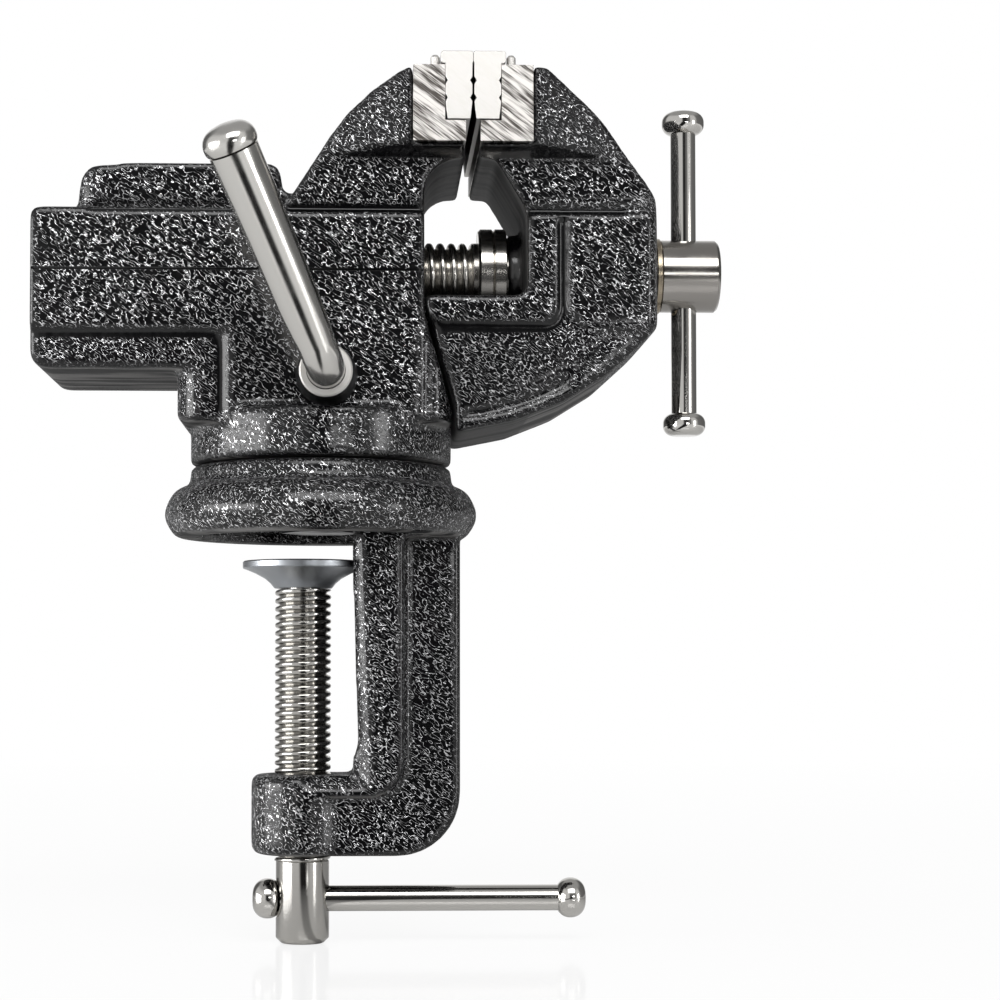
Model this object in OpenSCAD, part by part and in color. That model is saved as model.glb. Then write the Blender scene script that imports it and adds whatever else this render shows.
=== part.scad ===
// Small cast-iron table vise with a swivel base, two jaws with double-sided inserts and a screw clamp.
// The origin lies on the swivel axis, in the plane where the base flange sits on the table top.
// +Z points up, +X along the spindle to its handle, and -Y to the side of the swivel lock lever.
// Heights are measured from the seating plane and distances from the swivel axis.

/* [Fits] */
// Radial clearance of a shaft that turns or slides in its bore
run_fit = 0.1; // [0.05:0.01:0.15]
// Radial clearance of a screw, pin or nut in its hole
seat_fit = 0.05; // [0.02:0.01:0.1]
// Gap between flat faces that slide or turn past each other
slide_gap = 0.3; // [0.2:0.05:0.4]
// Visible seam between the castings that move against each other
seam = 0.4; // [0.3:0.05:0.6]

/* [Castings] */
// Depth of the recesses beside the raised side panels
panel_t = 1.2; // [0.6:0.1:1.8]
// Distance of the rear end of the body
body_back = 69.2; // [66:0.5:80]
// Distance of the body's face from the line where the inserts meet
face_gap = 11.4; // [9:0.1:13]
// Height of the body's flat top over the spindle axis
top_rise = 12.1; // [11.4:0.1:14]
// Height of the underside behind the neck, over the neck's lower edge
under_rise = 10.6; // [8:0.2:12]
// Height of the lower edge of the long side panel over that underside
panel_rise = 8.8; // [7:0.2:10]
// Distance of the rear edge of the column panel above the neck
column_back = 22; // [18:0.5:24]
// Distance of the rear face of the neck
neck_back = 34.5; // [33:0.5:38]
// Inset of the round skirt under the neck from the sides of the jaws
skirt_inset = 0.2; // [0:0.1:1.5]
// Height of the round skirt
skirt_h = 10.9; // [8:0.1:12]
// Width of the decorative grooves beside the jaws
groove_w = 2.5; // [1.5:0.1:3.5]

/* [Anvil] */
// Distance of the rear end of the anvil
anvil_back = 58.4; // [50:0.2:62]
// Width of the anvil
anvil_w = 40; // [34:1:44]
// Height of the anvil face over the body
anvil_h = 11.7; // [8:0.1:14]

/* [Jaws] */
// Width of the jaws and of their plates
jaw_w = 65; // [58:1:75]
// Overhang of the jaws over each side of the castings
jaw_over = 7.5; // [6:0.5:9]
// Height of the seat under the jaw plates, over the body's flat top
seat_rise = 14.5; // [13:0.1:17]
// Thickness of the ledge that carries a plate
ledge_t = 2.7; // [2:0.1:4]
// Height of the plates
plate_h = 18.3; // [16:0.1:22]
// Thickness of the upright of a plate
plate_t = 7.6; // [7:0.1:8.5]
// Length of the foot of a plate, measured from its back
plate_foot = 12.6; // [11:0.1:13]
// Height of the foot of a plate
foot_h = 5; // [4:0.2:7]
// Thickness of an insert
insert_t = 6.5; // [5.5:0.1:7]
// Height by which the inserts stand over the plates
insert_over = 3.3; // [2:0.1:5]
// Overhang of the insert's head over its back and front
insert_lip = 1.1; // [0.6:0.1:1.6]
// Distance of the line where the closed inserts meet
meet_x = 36.5; // [36:0.1:37]
// Gap between the closed inserts
closed_gap = 0.4; // [0.3:0.1:1.2]
// Depth of the serrations
tooth_d = 0.55; // [0.2:0.05:0.7]
// Distance between serrations
tooth_pitch = 4.15; // [2.5:0.05:4.5]
// Distance between the two screws of a plate
plate_screw_gap = 38; // [30:1:46]
// Radius of the screws that hold the plates
plate_screw_r = 2.5; // [2:0.1:3]
// Distance of the two pins beside an insert from the ends of the plate
insert_pin_edge = 2; // [1.6:0.1:8]
// Radius of the pins beside the inserts
insert_pin_r = 1.1; // [0.7:0.05:1.3]

/* [Movable jaw] */
// Length of the window between the body's face and the movable jaw
window_l = 24.7; // [24:0.1:28]
// Length of the movable jaw from the window to the face that carries the spindle head
jaw_l = 33.2; // [31:0.1:38]
// Straight stretch at the foot of the long curve under the jaw
keel_toe = 1.8; // [0.6:0.1:6]
// Thickness of the slide
slide_t = 6.8; // [5:0.2:7]
// Depth of the slide's top and of the window's sill under the spindle axis
slide_drop = 8.7; // [8.5:0.1:9.5]
// Wall between the slide and each side of the body
slide_wall = 4; // [3.5:0.1:6]
// Distance of the rear end of the slide
slide_back = 62; // [50:1:64]

/* [Spindle] */
// Height of the spindle axis over the top of the post
spindle_rise = 22.7; // [22.6:0.1:25]
// Radius over the spindle's thread
spindle_r = 8; // [7:0.1:8.2]
// Pitch of the spindle's thread
spindle_pitch = 2.75; // [2:0.25:4]
// Depth of the spindle's thread
spindle_thread = 1.5; // [1:0.1:1.7]
// Distance of the rear end of the spindle
spindle_back = 64; // [60:1:66]
// Radius of the spindle head
head_r = 9; // [8.7:0.1:10.5]
// Length of the spindle head
head_l = 14.6; // [12:0.2:17]
// Radius of the retaining collar and its washer
collar_r = 11.5; // [10:0.1:12]
// Thickness of the retaining collar
collar_t = 4; // [3.5:0.1:4.5]
// Thickness of the collar washer
collar_washer_t = 3; // [2:0.1:3.4]
// Thickness of the thrust washer under the head
thrust_t = 1.3; // [0.8:0.1:2]
// Length of the bosses inside the window
inner_boss_l = 3.6; // [3:0.1:4]
// Radius of the nut in the body
nut_r = 10.5; // [10:0.1:10.8]
// Length of the nut
nut_l = 28; // [22:1:32]

/* [Handle bars] */
// Radius of the spindle bar
spindle_bar_r = 3.15; // [2.8:0.05:3.5]
// Length of the spindle bar over its knobs
spindle_bar_l = 81.7; // [70:1:95]
// Radius of the knobs of the spindle bar
spindle_knob_r = 5.3; // [4.5:0.1:6.5]
// Length of the knobs of the spindle bar
spindle_knob_l = 5.6; // [4.5:0.1:7]
// Radius of the clamp bar
clamp_bar_r = 3.2; // [2.6:0.05:3.4]
// Length of the clamp bar over its knobs
clamp_bar_l = 82.4; // [70:1:90]
// Radius of the knobs of the clamp bar
clamp_knob_r = 4.95; // [4.5:0.05:6]
// Length of the knobs of the clamp bar
clamp_knob_l = 7.4; // [6:0.1:8.5]

/* [Swivel base] */
// Overhang of the base flange round the skirt
flange_over = 6.3; // [5:0.1:9]
// Height of the base flange
flange_h = 12.6; // [11.5:0.2:14]
// Height of the turned ring
ring_h = 4.9; // [4:0.1:6]
// Radius of the hollow under the flange
hollow_r = 30; // [26:0.5:32]
// Depth of the hollow under the flange
hollow_d = 4; // [3:0.2:6]
// Radius of the post that the body turns on
post_r = 16; // [13:0.5:19]
// Height of the post over the turned ring
post_h = 25.9; // [24:0.1:26]
// Radius of the pivot bolt
pivot_r = 5; // [4:0.5:6]
// Width across the flats of the pivot bolt head
pivot_af = 17; // [14:1:18]
// Height of the pivot bolt head
pivot_head_h = 6; // [4:0.2:6.4]
// Radius of the pivot washer
washer_r = 13; // [11.5:0.5:15]
// Thickness of the pivot washer
washer_t = 2; // [1:0.2:2.6]

/* [Swivel lock] */
// Distance of the lock screw from the swivel axis
lock_x = 1.7; // [0:0.1:3]
// Depth of the lock screw under the top of the post
lock_drop = 5.8; // [5.2:0.1:7]
// Radius of the lock screw
lock_r = 4.8; // [4:0.1:5]
// Radius of the hub where it leaves the casting
hub_r = 7.4; // [6.8:0.1:8.5]
// Length of the hub outside the casting
hub_l = 9; // [7:0.5:11]
// Radius of the lever rod at its bend
lever_r = 4.35; // [3.8:0.05:4.6]
// Radius of the lever rod at its cap
lever_end_r = 5.8; // [5:0.1:6.6]
// Radius of the bend of the lever
bend_r = 8; // [7:0.5:10]
// Lean of the lever to the rear, in degrees
lever_lean = 24; // [15:1:40]
// Slant of the lever away from the body, in degrees
lever_slant = 22; // [14:1:30]
// Length of the straight stretch of the lever
lever_l = 48; // [35:1:55]
// Length of the lever's cap
cap_l = 6; // [5:0.5:9]

/* [Clamp frame] */
// Distance of the clamp screw behind the swivel axis
clamp_x = 4.4; // [2:0.1:6]
// Distance of the arm's inner face
arm_in = 7.3; // [6:0.1:9]
// Distance of the arm's outer face
arm_out = 34.3; // [31:0.1:36.5]
// Distance of the step between the arm's rib and its web
arm_step = 20.5; // [18:0.5:24]
// Width of the arm's rib
rib_w = 26; // [22:1:29]
// Width of the arm's web
web_w = 20; // [14:1:21]
// Clear height between the seating plane and the lower arm
throat_h = 58.3; // [50:1:75]
// Height of the boss that takes the clamp screw
boss_h = 19.8; // [17:0.2:24]
// Radius of the boss that takes the clamp screw
boss_r = 12.7; // [11:0.1:14]
// Height of the rib on the lower arm
lower_rib_h = 5.1; // [4:0.1:8]

/* [Clamp screw] */
// Radius over the clamp screw's thread
clamp_r = 7; // [6:0.5:8]
// Pitch of the clamp screw's thread
clamp_pitch = 2; // [1.5:0.25:2.5]
// Depth of the clamp screw's thread
clamp_thread = 1.1; // [0.8:0.1:1.2]
// Radius of the clamp screw's head
clamp_head_r = 6.6; // [5.8:0.1:7.5]
// Length of the clamp screw's head
clamp_head_l = 20.5; // [17:0.5:24]
// Gap between the boss and the head at rest
clamp_head_gap = 1.3; // [0.8:0.1:3]
// Length of the bar's knob that rests in the mouth of the head's hole
knob_sink = 1.7; // [0:0.1:1.9]
// Radius of the pad
pad_r = 15; // [13:0.5:16]
// Height of the pad from its neck to its face
pad_h = 6.7; // [6:0.1:8]
// Gap between the seating plane and the pad at rest
pad_drop = 5.7; // [5:0.1:8]

/* [Hidden] */
$fn = 96;

iron = [0.13, 0.13, 0.14];
steel = [0.72, 0.72, 0.70];
bright = [0.90, 0.89, 0.86];
dark_steel = [0.30, 0.30, 0.31];
bronze = [0.72, 0.55, 0.36];

// How far cutting shapes run past the surface that they cut
past = 1;

// Steps of the rounded corners of an outline, in degrees
arc_step = 12;

// Places that follow from the sizes above
jaw_side = jaw_w / 2;
side = jaw_side - jaw_over;
body_w = 2 * side;
slide_w = body_w - 2 * slide_wall;
skirt_r = jaw_side - skirt_inset;
neck_front = skirt_r - 0.1;
ring_r = skirt_r - 0.2;
flange_r = skirt_r + flange_over;
ring_top = flange_h + ring_h;
skirt_bottom = ring_top + seam;
neck_under = skirt_bottom + skirt_h;
body_under = neck_under + under_rise;
panel_under = body_under + panel_rise;
post_top = ring_top + post_h;
post_roof = post_top + slide_gap;
lock_z = post_top - lock_drop;
spindle_z = post_top + spindle_rise;
slide_top = spindle_z - slide_drop;
slide_bottom = slide_top - slide_t;
body_top = spindle_z + top_rise;
anvil_top = body_top + anvil_h;
jaw_seat = body_top + seat_rise;
plate_top = jaw_seat + plate_h;
body_face = meet_x - face_gap;
window_end = body_face + window_l;
jaw_end = window_end + jaw_l;
plate_back = meet_x - closed_gap / 2 - insert_t - plate_t;
far_plate_back = meet_x + closed_gap / 2 + insert_t + plate_t;
bar_x = jaw_end + thrust_t + head_l * 0.45;
bar_z = spindle_z + 0.7;
lock_face = -side;
screw_top = -pad_drop - pad_h;
clamp_head_top = -throat_h - boss_h - clamp_head_gap;
clamp_bar_z = clamp_head_top - clamp_head_l * 0.47;
clamp_knob_x = -clamp_x - clamp_head_r + knob_sink - clamp_knob_l;
plate_screw_z = (jaw_seat + foot_h + plate_top) / 2;
boss_face = window_end - inner_boss_l;
collar_x = boss_face - slide_gap - collar_washer_t - collar_t;

// Corner radii of the castings
edge_r = 2.5;
small_r = 1;
large_r = 8;

function unit(v) = v / norm(v);
function turn_of(a) = a > 180 ? a - 360 : a < -180 ? a + 360 : a;

// Points of the arc of radius r that rounds the corner b between the points a and c
function corner(a, b, c, r) =
  let (
    u = unit(a - b),
    w = unit(c - b),
    half = acos(u * w) / 2,
    start = b + u * r / tan(half),
    end = b + w * r / tan(half),
    centre = b + unit(u + w) * r / sin(half),
    from = atan2(start.y - centre.y, start.x - centre.x),
    turn = turn_of(atan2(end.y - centre.y, end.x - centre.x) - from),
    steps = max(2, ceil(abs(turn) / arc_step))
  )
  [for (i = [0:steps]) centre + r * [cos(from + turn * i / steps), sin(from + turn * i / steps)]];

// Closed outline through the corners [x, z, radius]; a radius of 0 leaves the corner sharp
function outline(p) =
  let (n = len(p))
  [for (i = [0:n - 1])
    let (a = p[(i + n - 1) % n], b = p[i], c = p[(i + 1) % n])
    each b[2] == 0 ? [[b.x, b.y]] : corner([a.x, a.y], [b.x, b.y], [c.x, c.y], b[2])];

// A shape drawn in X and Z, made w wide and centred on the plane Y = 0
module slab(w) rotate([90, 0, 0]) linear_extrude(w, center = true) children();

// Cuts a shape drawn in X and Z into both sides of the castings, to a depth
module both_sides(depth)
  for (s = [-1, 1])
    translate([0, s * (side + (past - depth) / 2), 0]) slab(depth + past) children();

// A cylinder along X from x0 to x1
module rod_x(r, x0, x1) translate([x0, 0, 0]) rotate([0, 90, 0]) cylinder(r = r, h = x1 - x0);

// A cylinder along Y from y0 to y1
module rod_y(r, y0, y1) translate([0, y0, 0]) rotate([-90, 0, 0]) cylinder(r = r, h = y1 - y0);

// A profile of [radius, x] points, turned round the X axis
module turned_x(p) rotate([0, 90, 0]) rotate_extrude() polygon(p);

// Profile points of a ridged thread of radius r from z0 up to z1
function ridges(r, depth, pitch, z0, z1) =
  let (n = floor((z1 - z0) / pitch))
  [for (i = [0:n - 1])
    let (z = z0 + i * pitch)
    each [[r - depth, z], [r - depth, z + pitch * 0.2], [r, z + pitch * 0.5],
      [r, z + pitch * 0.7], [r - depth, z + pitch]]];

// A ring with a square profile
module ring(outer, inner, h) difference() {
  cylinder(r = outer, h = h);
  translate([0, 0, -past]) cylinder(r = inner, h = h + 2 * past);
}

// Base flange, turned ring, post and C-shaped arm in one casting
arm_round = 15.5;
throat_round = 8.5;
arm_chamfer = 2.6;
lower_chamfer = lower_rib_h - 1.1;
arm_lean = 2.3;
flange_mid = 5.3;
well_r = washer_r + 1.5;
well_top = pivot_head_h + washer_t + 1.6;
relief_r = pad_r + 0.7;

module clamp_frame() color(iron) difference() {
  union() {
    rotate_extrude() polygon(outline([
      [0, 0, 0], [flange_r - 2.6, 0, 2], [flange_r + 0.9, flange_mid, 5.4],
      [flange_r - 2.5, flange_h - 0.4, 5], [ring_r + 0.5, flange_h, 0.8], [ring_r, ring_top, 0.6],
      [0, ring_top, 0]]));
    translate([0, 0, ring_top - past]) cylinder(r = post_r, h = post_top - ring_top + past);
    slab(web_w) polygon(outline([
      [arm_in, flange_mid, 0], [arm_out, flange_mid, 0], [arm_out, -throat_h - boss_h, arm_round],
      [-clamp_x, -throat_h - boss_h, 0], [-clamp_x, -throat_h, 0],
      [arm_in + arm_lean, -throat_h, throat_round]]));
    slab(rib_w) polygon(outline([
      [arm_in, flange_mid, 0], [arm_step, flange_mid, 0],
      [arm_step, -throat_h - lower_rib_h, throat_round],
      [-clamp_x, -throat_h - lower_rib_h, 0], [-clamp_x, -throat_h, 0],
      [arm_in + arm_lean, -throat_h, throat_round]]));
    translate([-clamp_x, 0, -throat_h - boss_h]) rotate_extrude() polygon(outline([
      [0, 0, 0], [boss_r, 0, edge_r], [boss_r, boss_h, 2], [0, boss_h, 0]]));
  }
  // Hollow under the flange, left out where the arm stands
  difference() {
    translate([0, 0, -past]) cylinder(r = hollow_r, h = hollow_d + past);
    translate([arm_in, -rib_w / 2, -2 * past]) cube([flange_r, rib_w, hollow_d + 4 * past]);
  }
  translate([0, 0, -past]) cylinder(r = well_r, h = well_top + past);
  cylinder(r = pivot_r + run_fit, h = post_top + past);
  // Relief that lets the round pad pass the arm, and the clamp screw's hole
  translate([-clamp_x, 0, -throat_h + 0.01]) cylinder(r = relief_r, h = throat_h + hollow_d - 0.01);
  translate([-clamp_x, 0, -throat_h - boss_h - past])
    cylinder(r = clamp_r + run_fit, h = boss_h + 2 * past);
  for (m = [0, 1]) mirror([0, m, 0]) throat_chamfer();
}

// Space of the chamfer on the near edges of the throat, mitred in its corner: it lies both beside the
// slope along the arm and above the slope along the lower arm
module throat_chamfer() {
  near = -rib_w / 2;
  reach = arm_in + arm_lean + clamp_x + 2 * past;
  intersection() {
    translate([arm_in + arm_lean, 0, -throat_h]) rotate([0, atan(-arm_lean / (throat_h + flange_mid)), 0])
      translate([0, 0, -lower_chamfer - past]) linear_extrude(throat_h + lower_chamfer + 2 * past) polygon([
        [-reach, near - past], [arm_chamfer + past, near - past], [0, near + arm_chamfer],
        [-reach, near + arm_chamfer]]);
    translate([-clamp_x, 0, 0]) rotate([90, 0, 90]) linear_extrude(reach + arm_chamfer) polygon([
      [near - past, -throat_h - lower_chamfer * (1 + past / arm_chamfer)], [near + arm_chamfer, -throat_h],
      [near + arm_chamfer, 0], [near - past, 0]]);
  }
}

// Bolt and washer that hold the body down on the base
module pivot_washer() color(steel)
  translate([0, 0, well_top - slide_gap - washer_t]) ring(washer_r, pivot_r + run_fit, washer_t);

module pivot_bolt() color(dark_steel) {
  translate([0, 0, well_top - slide_gap - washer_t - pivot_head_h])
    cylinder(r = pivot_af / sqrt(3), h = pivot_head_h, $fn = 6);
  translate([0, 0, well_top - slide_gap - washer_t - past])
    cylinder(r = pivot_r, h = slide_bottom - slide_gap - 1.2 - (well_top - slide_gap - washer_t - past));
}

// Fixed body with the anvil, the rear jaw, the neck and the skirt
valley_x = plate_back - 31;
jaw_slope = 57;
jaw_shoulder = plate_top - 7;
shoulder_x = valley_x + (jaw_shoulder - body_top) / tan(jaw_slope);
window_top = jaw_seat - ledge_t;
block_l = 22.5;
slot_top = slide_bottom + 2.4;
neck_round = 9;
lower_tip_x = neck_front - (body_under - neck_under) * (neck_front - body_face) / (slot_top - neck_under);

module body_outline() polygon(outline([
  [-body_back, body_under, 4], [-body_back, body_top, edge_r], [valley_x, body_top, 1.5],
  [shoulder_x, jaw_shoulder, 38], [plate_back, plate_top - 0.4, 0], [plate_back, jaw_seat, 0],
  [plate_back + plate_foot + 0.2, jaw_seat, 0], [plate_back + plate_foot + 0.2, window_top, 0],
  [body_face, window_top, large_r], [body_face, slot_top, small_r],
  [lower_tip_x, body_under, 0]]));

module neck() intersection() {
  translate([0, 0, neck_under - 2]) linear_extrude(body_under - neck_under + 6) polygon(outline([
    [-neck_back, -side, neck_round], [neck_front, -side, neck_round],
    [neck_front, side, neck_round], [-neck_back, side, neck_round]]));
  slab(body_w) polygon(outline([
    [-neck_back, neck_under - 2, 2.2], [neck_front, neck_under - 2, 0], [neck_front, neck_under, 0],
    [body_face, slot_top, 0], [-neck_back, slot_top, 0]]));
}

// Outer block of a jaw with the outline given as child. It is as wide as the jaw at its plate, x0, and
// narrows to the casting's width at its tip, x1, and its underside slopes like the ledge
module outer_block(x0, x1) intersection() {
  hull()
    for (part = [[jaw_w, jaw_seat], [body_w, window_top]])
      slab(part[0]) intersection() {
        children();
        translate([min(x0, x1), part[1]]) square([abs(x1 - x0), plate_h + edge_r]);
      }
  linear_extrude(2 * plate_top) polygon([[x0, -jaw_side], [x1, -side], [x1, side], [x0, jaw_side]]);
}

module ledge(x0, x1) hull() {
  translate([x0, -jaw_side, jaw_seat - 0.4]) cube([x1 - x0, jaw_w, 0.4]);
  translate([x0, -side, window_top]) cube([x1 - x0, body_w, ledge_t]);
}

// Anvil with rounded rear corners, a foot that runs out behind it and a groove along each side
anvil_foot = 3;
anvil_corner = 5;
anvil_groove_d = 1.2;

module anvil_outline() polygon(outline([
  [-anvil_back - anvil_foot - 0.5, body_top - past, 0], [-anvil_back - anvil_foot, body_top, 1.5],
  [-anvil_back - 0.5, body_top + 2, 2], [-anvil_back + 0.8, anvil_top - 0.9, 5],
  [-anvil_back * 0.75, anvil_top, 20], [valley_x - 1, anvil_top, 3],
  [valley_x - 0.5, body_top + 4.5, 2.5], [valley_x + 6, body_top + 4, 0], [valley_x + 6, body_top - past, 0]]));

module anvil() difference() {
  union() {
    slab(anvil_w - 2 * anvil_corner) anvil_outline();
    intersection() {
      slab(anvil_w) anvil_outline();
      linear_extrude(2 * anvil_top) polygon(outline([
        [-anvil_back - 0.4, -anvil_w / 2, anvil_corner], [valley_x + body_w, -anvil_w / 2, 0],
        [valley_x + body_w, anvil_w / 2, 0], [-anvil_back - 0.4, anvil_w / 2, anvil_corner]]));
    }
  }
  for (m = [0, 1])
    mirror([0, m, 0]) translate([-anvil_back + groove_w, anvil_w / 2 - anvil_groove_d, body_top])
      cube([anvil_back + body_w, anvil_groove_d + past, groove_w]);
}

module vise_body() color(iron) difference() {
  union() {
    slab(body_w) body_outline();
    neck();
    translate([0, 0, skirt_bottom]) cylinder(r = skirt_r, h = neck_under - skirt_bottom + past);
    anvil();
    outer_block(plate_back, plate_back - block_l) body_outline();
    ledge(plate_back - past, plate_back + plate_foot + 0.2);
  }
  // Seat of the jaw plate
  translate([plate_back, -jaw_side - past, jaw_seat]) cube([plate_foot + past, jaw_w + 2 * past, plate_top]);
  // Recesses that leave the raised panels on the sides
  both_sides(panel_t) polygon(outline([
    [-body_back - past, body_under - past, 0], [-body_back - past, panel_under + past, 0],
    [-column_back - edge_r - past, panel_under + past, 0], [-column_back, panel_under + past, edge_r],
    [-column_back, neck_under - 3, 0], [-neck_back, neck_under - 3, 0], [-neck_back, body_under - past, 0]]));
  both_sides(panel_t) translate([body_face - 0.5, neck_under - 3]) square([large_r, slot_top - neck_under]);
  both_sides(panel_t) translate([valley_x, body_top - 1.2]) square([body_face - valley_x + past, groove_w]);
  both_sides(0.5) translate([-body_back - past, spindle_z - 3.2]) square([body_back + body_face + 2, 0.5]);
  // Channel of the slide, tunnel of the spindle and seat of the nut
  translate([-body_back - past, -slide_w / 2 - run_fit, slide_bottom - run_fit])
    cube([body_back + body_face + 2 * past, slide_w + 2 * run_fit, slide_t + 2 * run_fit]);
  translate([0, 0, spindle_z]) {
    rod_x(spindle_r + 1, -body_back - past, body_face + past);
    rod_x(nut_r + seat_fit, -body_back - past, nut_end);
  }
  translate([grub_x, 0, spindle_z]) rod_y(grub_r + seat_fit, 0, side + past);
  // Bore for the post, thread of the pivot bolt and bore of the lock screw
  translate([0, 0, skirt_bottom - past]) cylinder(r = post_r + run_fit, h = post_roof - skirt_bottom + past);
  cylinder(r = pivot_r + seat_fit, h = slide_bottom + past);
  translate([lock_x, 0, lock_z]) rod_y(lock_r + run_fit, lock_face - past, 0);
  plate_screw_holes(plate_back, 1);
}

// Nut in the body and the screw that keeps it from turning
nut_end = body_face - 13.1;
grub_x = nut_end - nut_l / 2;
grub_r = 3;
grub_depth = 1.6;

module spindle_nut() color(bronze) difference() {
  translate([0, 0, spindle_z]) rod_x(nut_r, nut_end - slide_gap - nut_l, nut_end - slide_gap);
  translate([0, 0, spindle_z]) rod_x(spindle_r + run_fit, nut_end - nut_l - past, nut_end + past);
  translate([grub_x, 0, spindle_z]) rod_y(grub_r + seat_fit, nut_r - grub_depth, nut_r + past);
}

module nut_grub_screw() color(dark_steel) translate([grub_x, 0, spindle_z]) difference() {
  rod_y(grub_r, nut_r - grub_depth + slide_gap, side - 1);
  translate([0, side - 4, 0]) rotate([-90, 0, 0]) cylinder(r = 1.9, h = 4, $fn = 6);
}

// L-shaped jaw plate, insert, screws and pins, drawn for the fixed jaw; dir is -1 on the movable jaw
module jaw_plate(back, dir) color(bright) difference() {
  slab(jaw_w) polygon([
    [back, jaw_seat], [back + dir * plate_foot, jaw_seat], [back + dir * plate_foot, jaw_seat + foot_h],
    [back + dir * plate_t, jaw_seat + foot_h], [back + dir * plate_t, plate_top], [back, plate_top]]);
  plate_screw_holes(back, dir);
  for (s = [-1, 1])
    translate([insert_pin_x(back, dir), s * (jaw_side - insert_pin_edge), plate_top - insert_pin_h])
      cylinder(r = insert_pin_r + seat_fit, h = insert_pin_h + past, $fn = 24);
}

insert_pin_h = 5;
insert_pin_out = 2.6;
function insert_pin_x(back, dir) = back + dir * (plate_t - insert_lip - insert_pin_r - 0.15);

module insert_pins(back, dir) color(steel)
  for (s = [-1, 1])
    translate([insert_pin_x(back, dir), s * (jaw_side - insert_pin_edge), plate_top - insert_pin_h])
      rotate_extrude($fn = 24) polygon([
        [0, 0], [insert_pin_r, 0], [insert_pin_r, insert_pin_h + insert_pin_out - 0.6],
        [insert_pin_r - 0.5, insert_pin_h + insert_pin_out], [0, insert_pin_h + insert_pin_out]]);

// Serrated edge of an insert at x, from z0 up to z1, cut towards side d
function serrated(x, d, z0, z1) =
  let (n = floor((z1 - z0) / tooth_pitch), first = z0 + (z1 - z0 - n * tooth_pitch) / 2)
  [for (i = [0:n - 1])
    let (z = first + i * tooth_pitch)
    each [[x, z + tooth_pitch * 0.28], [x + d * tooth_d, z + tooth_pitch * 0.5], [x, z + tooth_pitch * 0.72]]];

function reversed(p) = [for (i = [len(p) - 1:-1:0]) p[i]];

module jaw_insert(back, dir) color("white") {
  rear = back + dir * (plate_t + 0.05);
  face = back + dir * (plate_t + insert_t);
  foot = jaw_seat + foot_h + 0.3;
  neck_z = plate_top + 0.3;
  head = plate_top + insert_over;
  slab(jaw_w) polygon(concat(
    [[rear + dir * 0.5, foot]],
    [[face - dir * 0.5, foot]],
    serrated(face, -dir, foot + 1, neck_z),
    [[face, neck_z], [face + dir * 0.2, neck_z + 0.6], [face + dir * 0.2, head - 0.4], [face - dir * 0.2, head]],
    [[rear - dir * (insert_lip - 0.4), head], [rear - dir * insert_lip, head - 0.5],
      [rear - dir * insert_lip, neck_z + 0.5], [rear - dir * (insert_lip - 0.5), neck_z], [rear, neck_z]],
    reversed(serrated(rear, dir, foot + 1, neck_z))));
}

plate_screw_l = 13;
screw_head_r = plate_screw_r * 1.9;
screw_socket_r = 1.7;
screw_socket_d = 2.5;

// A countersunk screw from the face of the plate into the jaw, larger all round by extra
module plate_screw(back, dir, extra)
  translate([back + dir * plate_t, 0, plate_screw_z])
    mirror([dir > 0 ? 1 : 0, 0, 0])
      turned_x([
        [0, -extra], [screw_head_r + 2 * extra, -extra], [plate_screw_r + extra, screw_head_r - plate_screw_r],
        [plate_screw_r + extra, plate_screw_l + extra], [0, plate_screw_l + extra]]);

module plate_screw_holes(back, dir)
  for (s = [-1, 1])
    translate([0, s * plate_screw_gap / 2, 0]) plate_screw(back, dir, seat_fit);

module plate_screws(back, dir) color(dark_steel)
  for (s = [-1, 1])
    translate([0, s * plate_screw_gap / 2, 0]) difference() {
      plate_screw(back, dir, 0);
      translate([back + dir * plate_t, 0, plate_screw_z]) rotate([0, 90, 0])
        cylinder(r = screw_socket_r, h = 2 * screw_socket_d, center = true, $fn = 6);
    }

module fixed_jaw_plate() jaw_plate(plate_back, 1);
module fixed_jaw_insert() jaw_insert(plate_back, 1);
module fixed_plate_screws() plate_screws(plate_back, 1);
module fixed_insert_pins() insert_pins(plate_back, 1);
module movable_jaw_plate() jaw_plate(far_plate_back, -1);
module movable_jaw_insert() jaw_insert(far_plate_back, -1);
module movable_plate_screws() plate_screws(far_plate_back, -1);
module movable_insert_pins() insert_pins(far_plate_back, -1);

// Brass plug that the lock screw presses against the post
plug_l = 3.6;
plug_face = -post_r - run_fit - slide_gap;

module lock_plug() color(bronze)
  translate([lock_x, 0, lock_z]) rod_y(lock_r, plug_face - plug_l, plug_face);

// Hub with the lock screw, collar and bent lever. The lever is drawn upright, then leant to the rear
hub_taper = 1.1;
hub_face = lock_face - slide_gap - hub_l;
collar_l = 1.4;
collar_bore = lever_r + 0.3;
bend_start = hub_face - collar_l - 3.2;
lever_turn = 90 - lever_slant;
socket_d = 5;
// The straight stretches run this far into the bend, which is thicker by the swell
bend_lap = 0.3;
bend_swell = 0.03;

module lever_hub() color(iron) translate([lock_x, 0, lock_z]) difference() {
  union() {
    translate([0, hub_face, 0]) rotate([-90, 0, 0]) cylinder(r1 = hub_r - hub_taper, r2 = hub_r, h = hub_l);
    rod_y(lock_r, hub_face + hub_l - past, plug_face - plug_l - seat_fit);
  }
  rod_y(lever_r + seat_fit, hub_face - past, hub_face + socket_d);
}

module lever_collar() color(bright) translate([lock_x, hub_face, lock_z]) rotate([90, 0, 0])
  ring(hub_r - hub_taper, collar_bore, collar_l);

module lean_lever() translate([lock_x, bend_start, lock_z]) rotate([0, -lever_lean, 0]) children();

// Goes to the end of the bend, with +Z along the lever
module at_bend_end() lean_lever() translate([0, -bend_r * sin(lever_turn), bend_r * (1 - cos(lever_turn))])
  rotate([lever_slant, 0, 0]) children();

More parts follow.
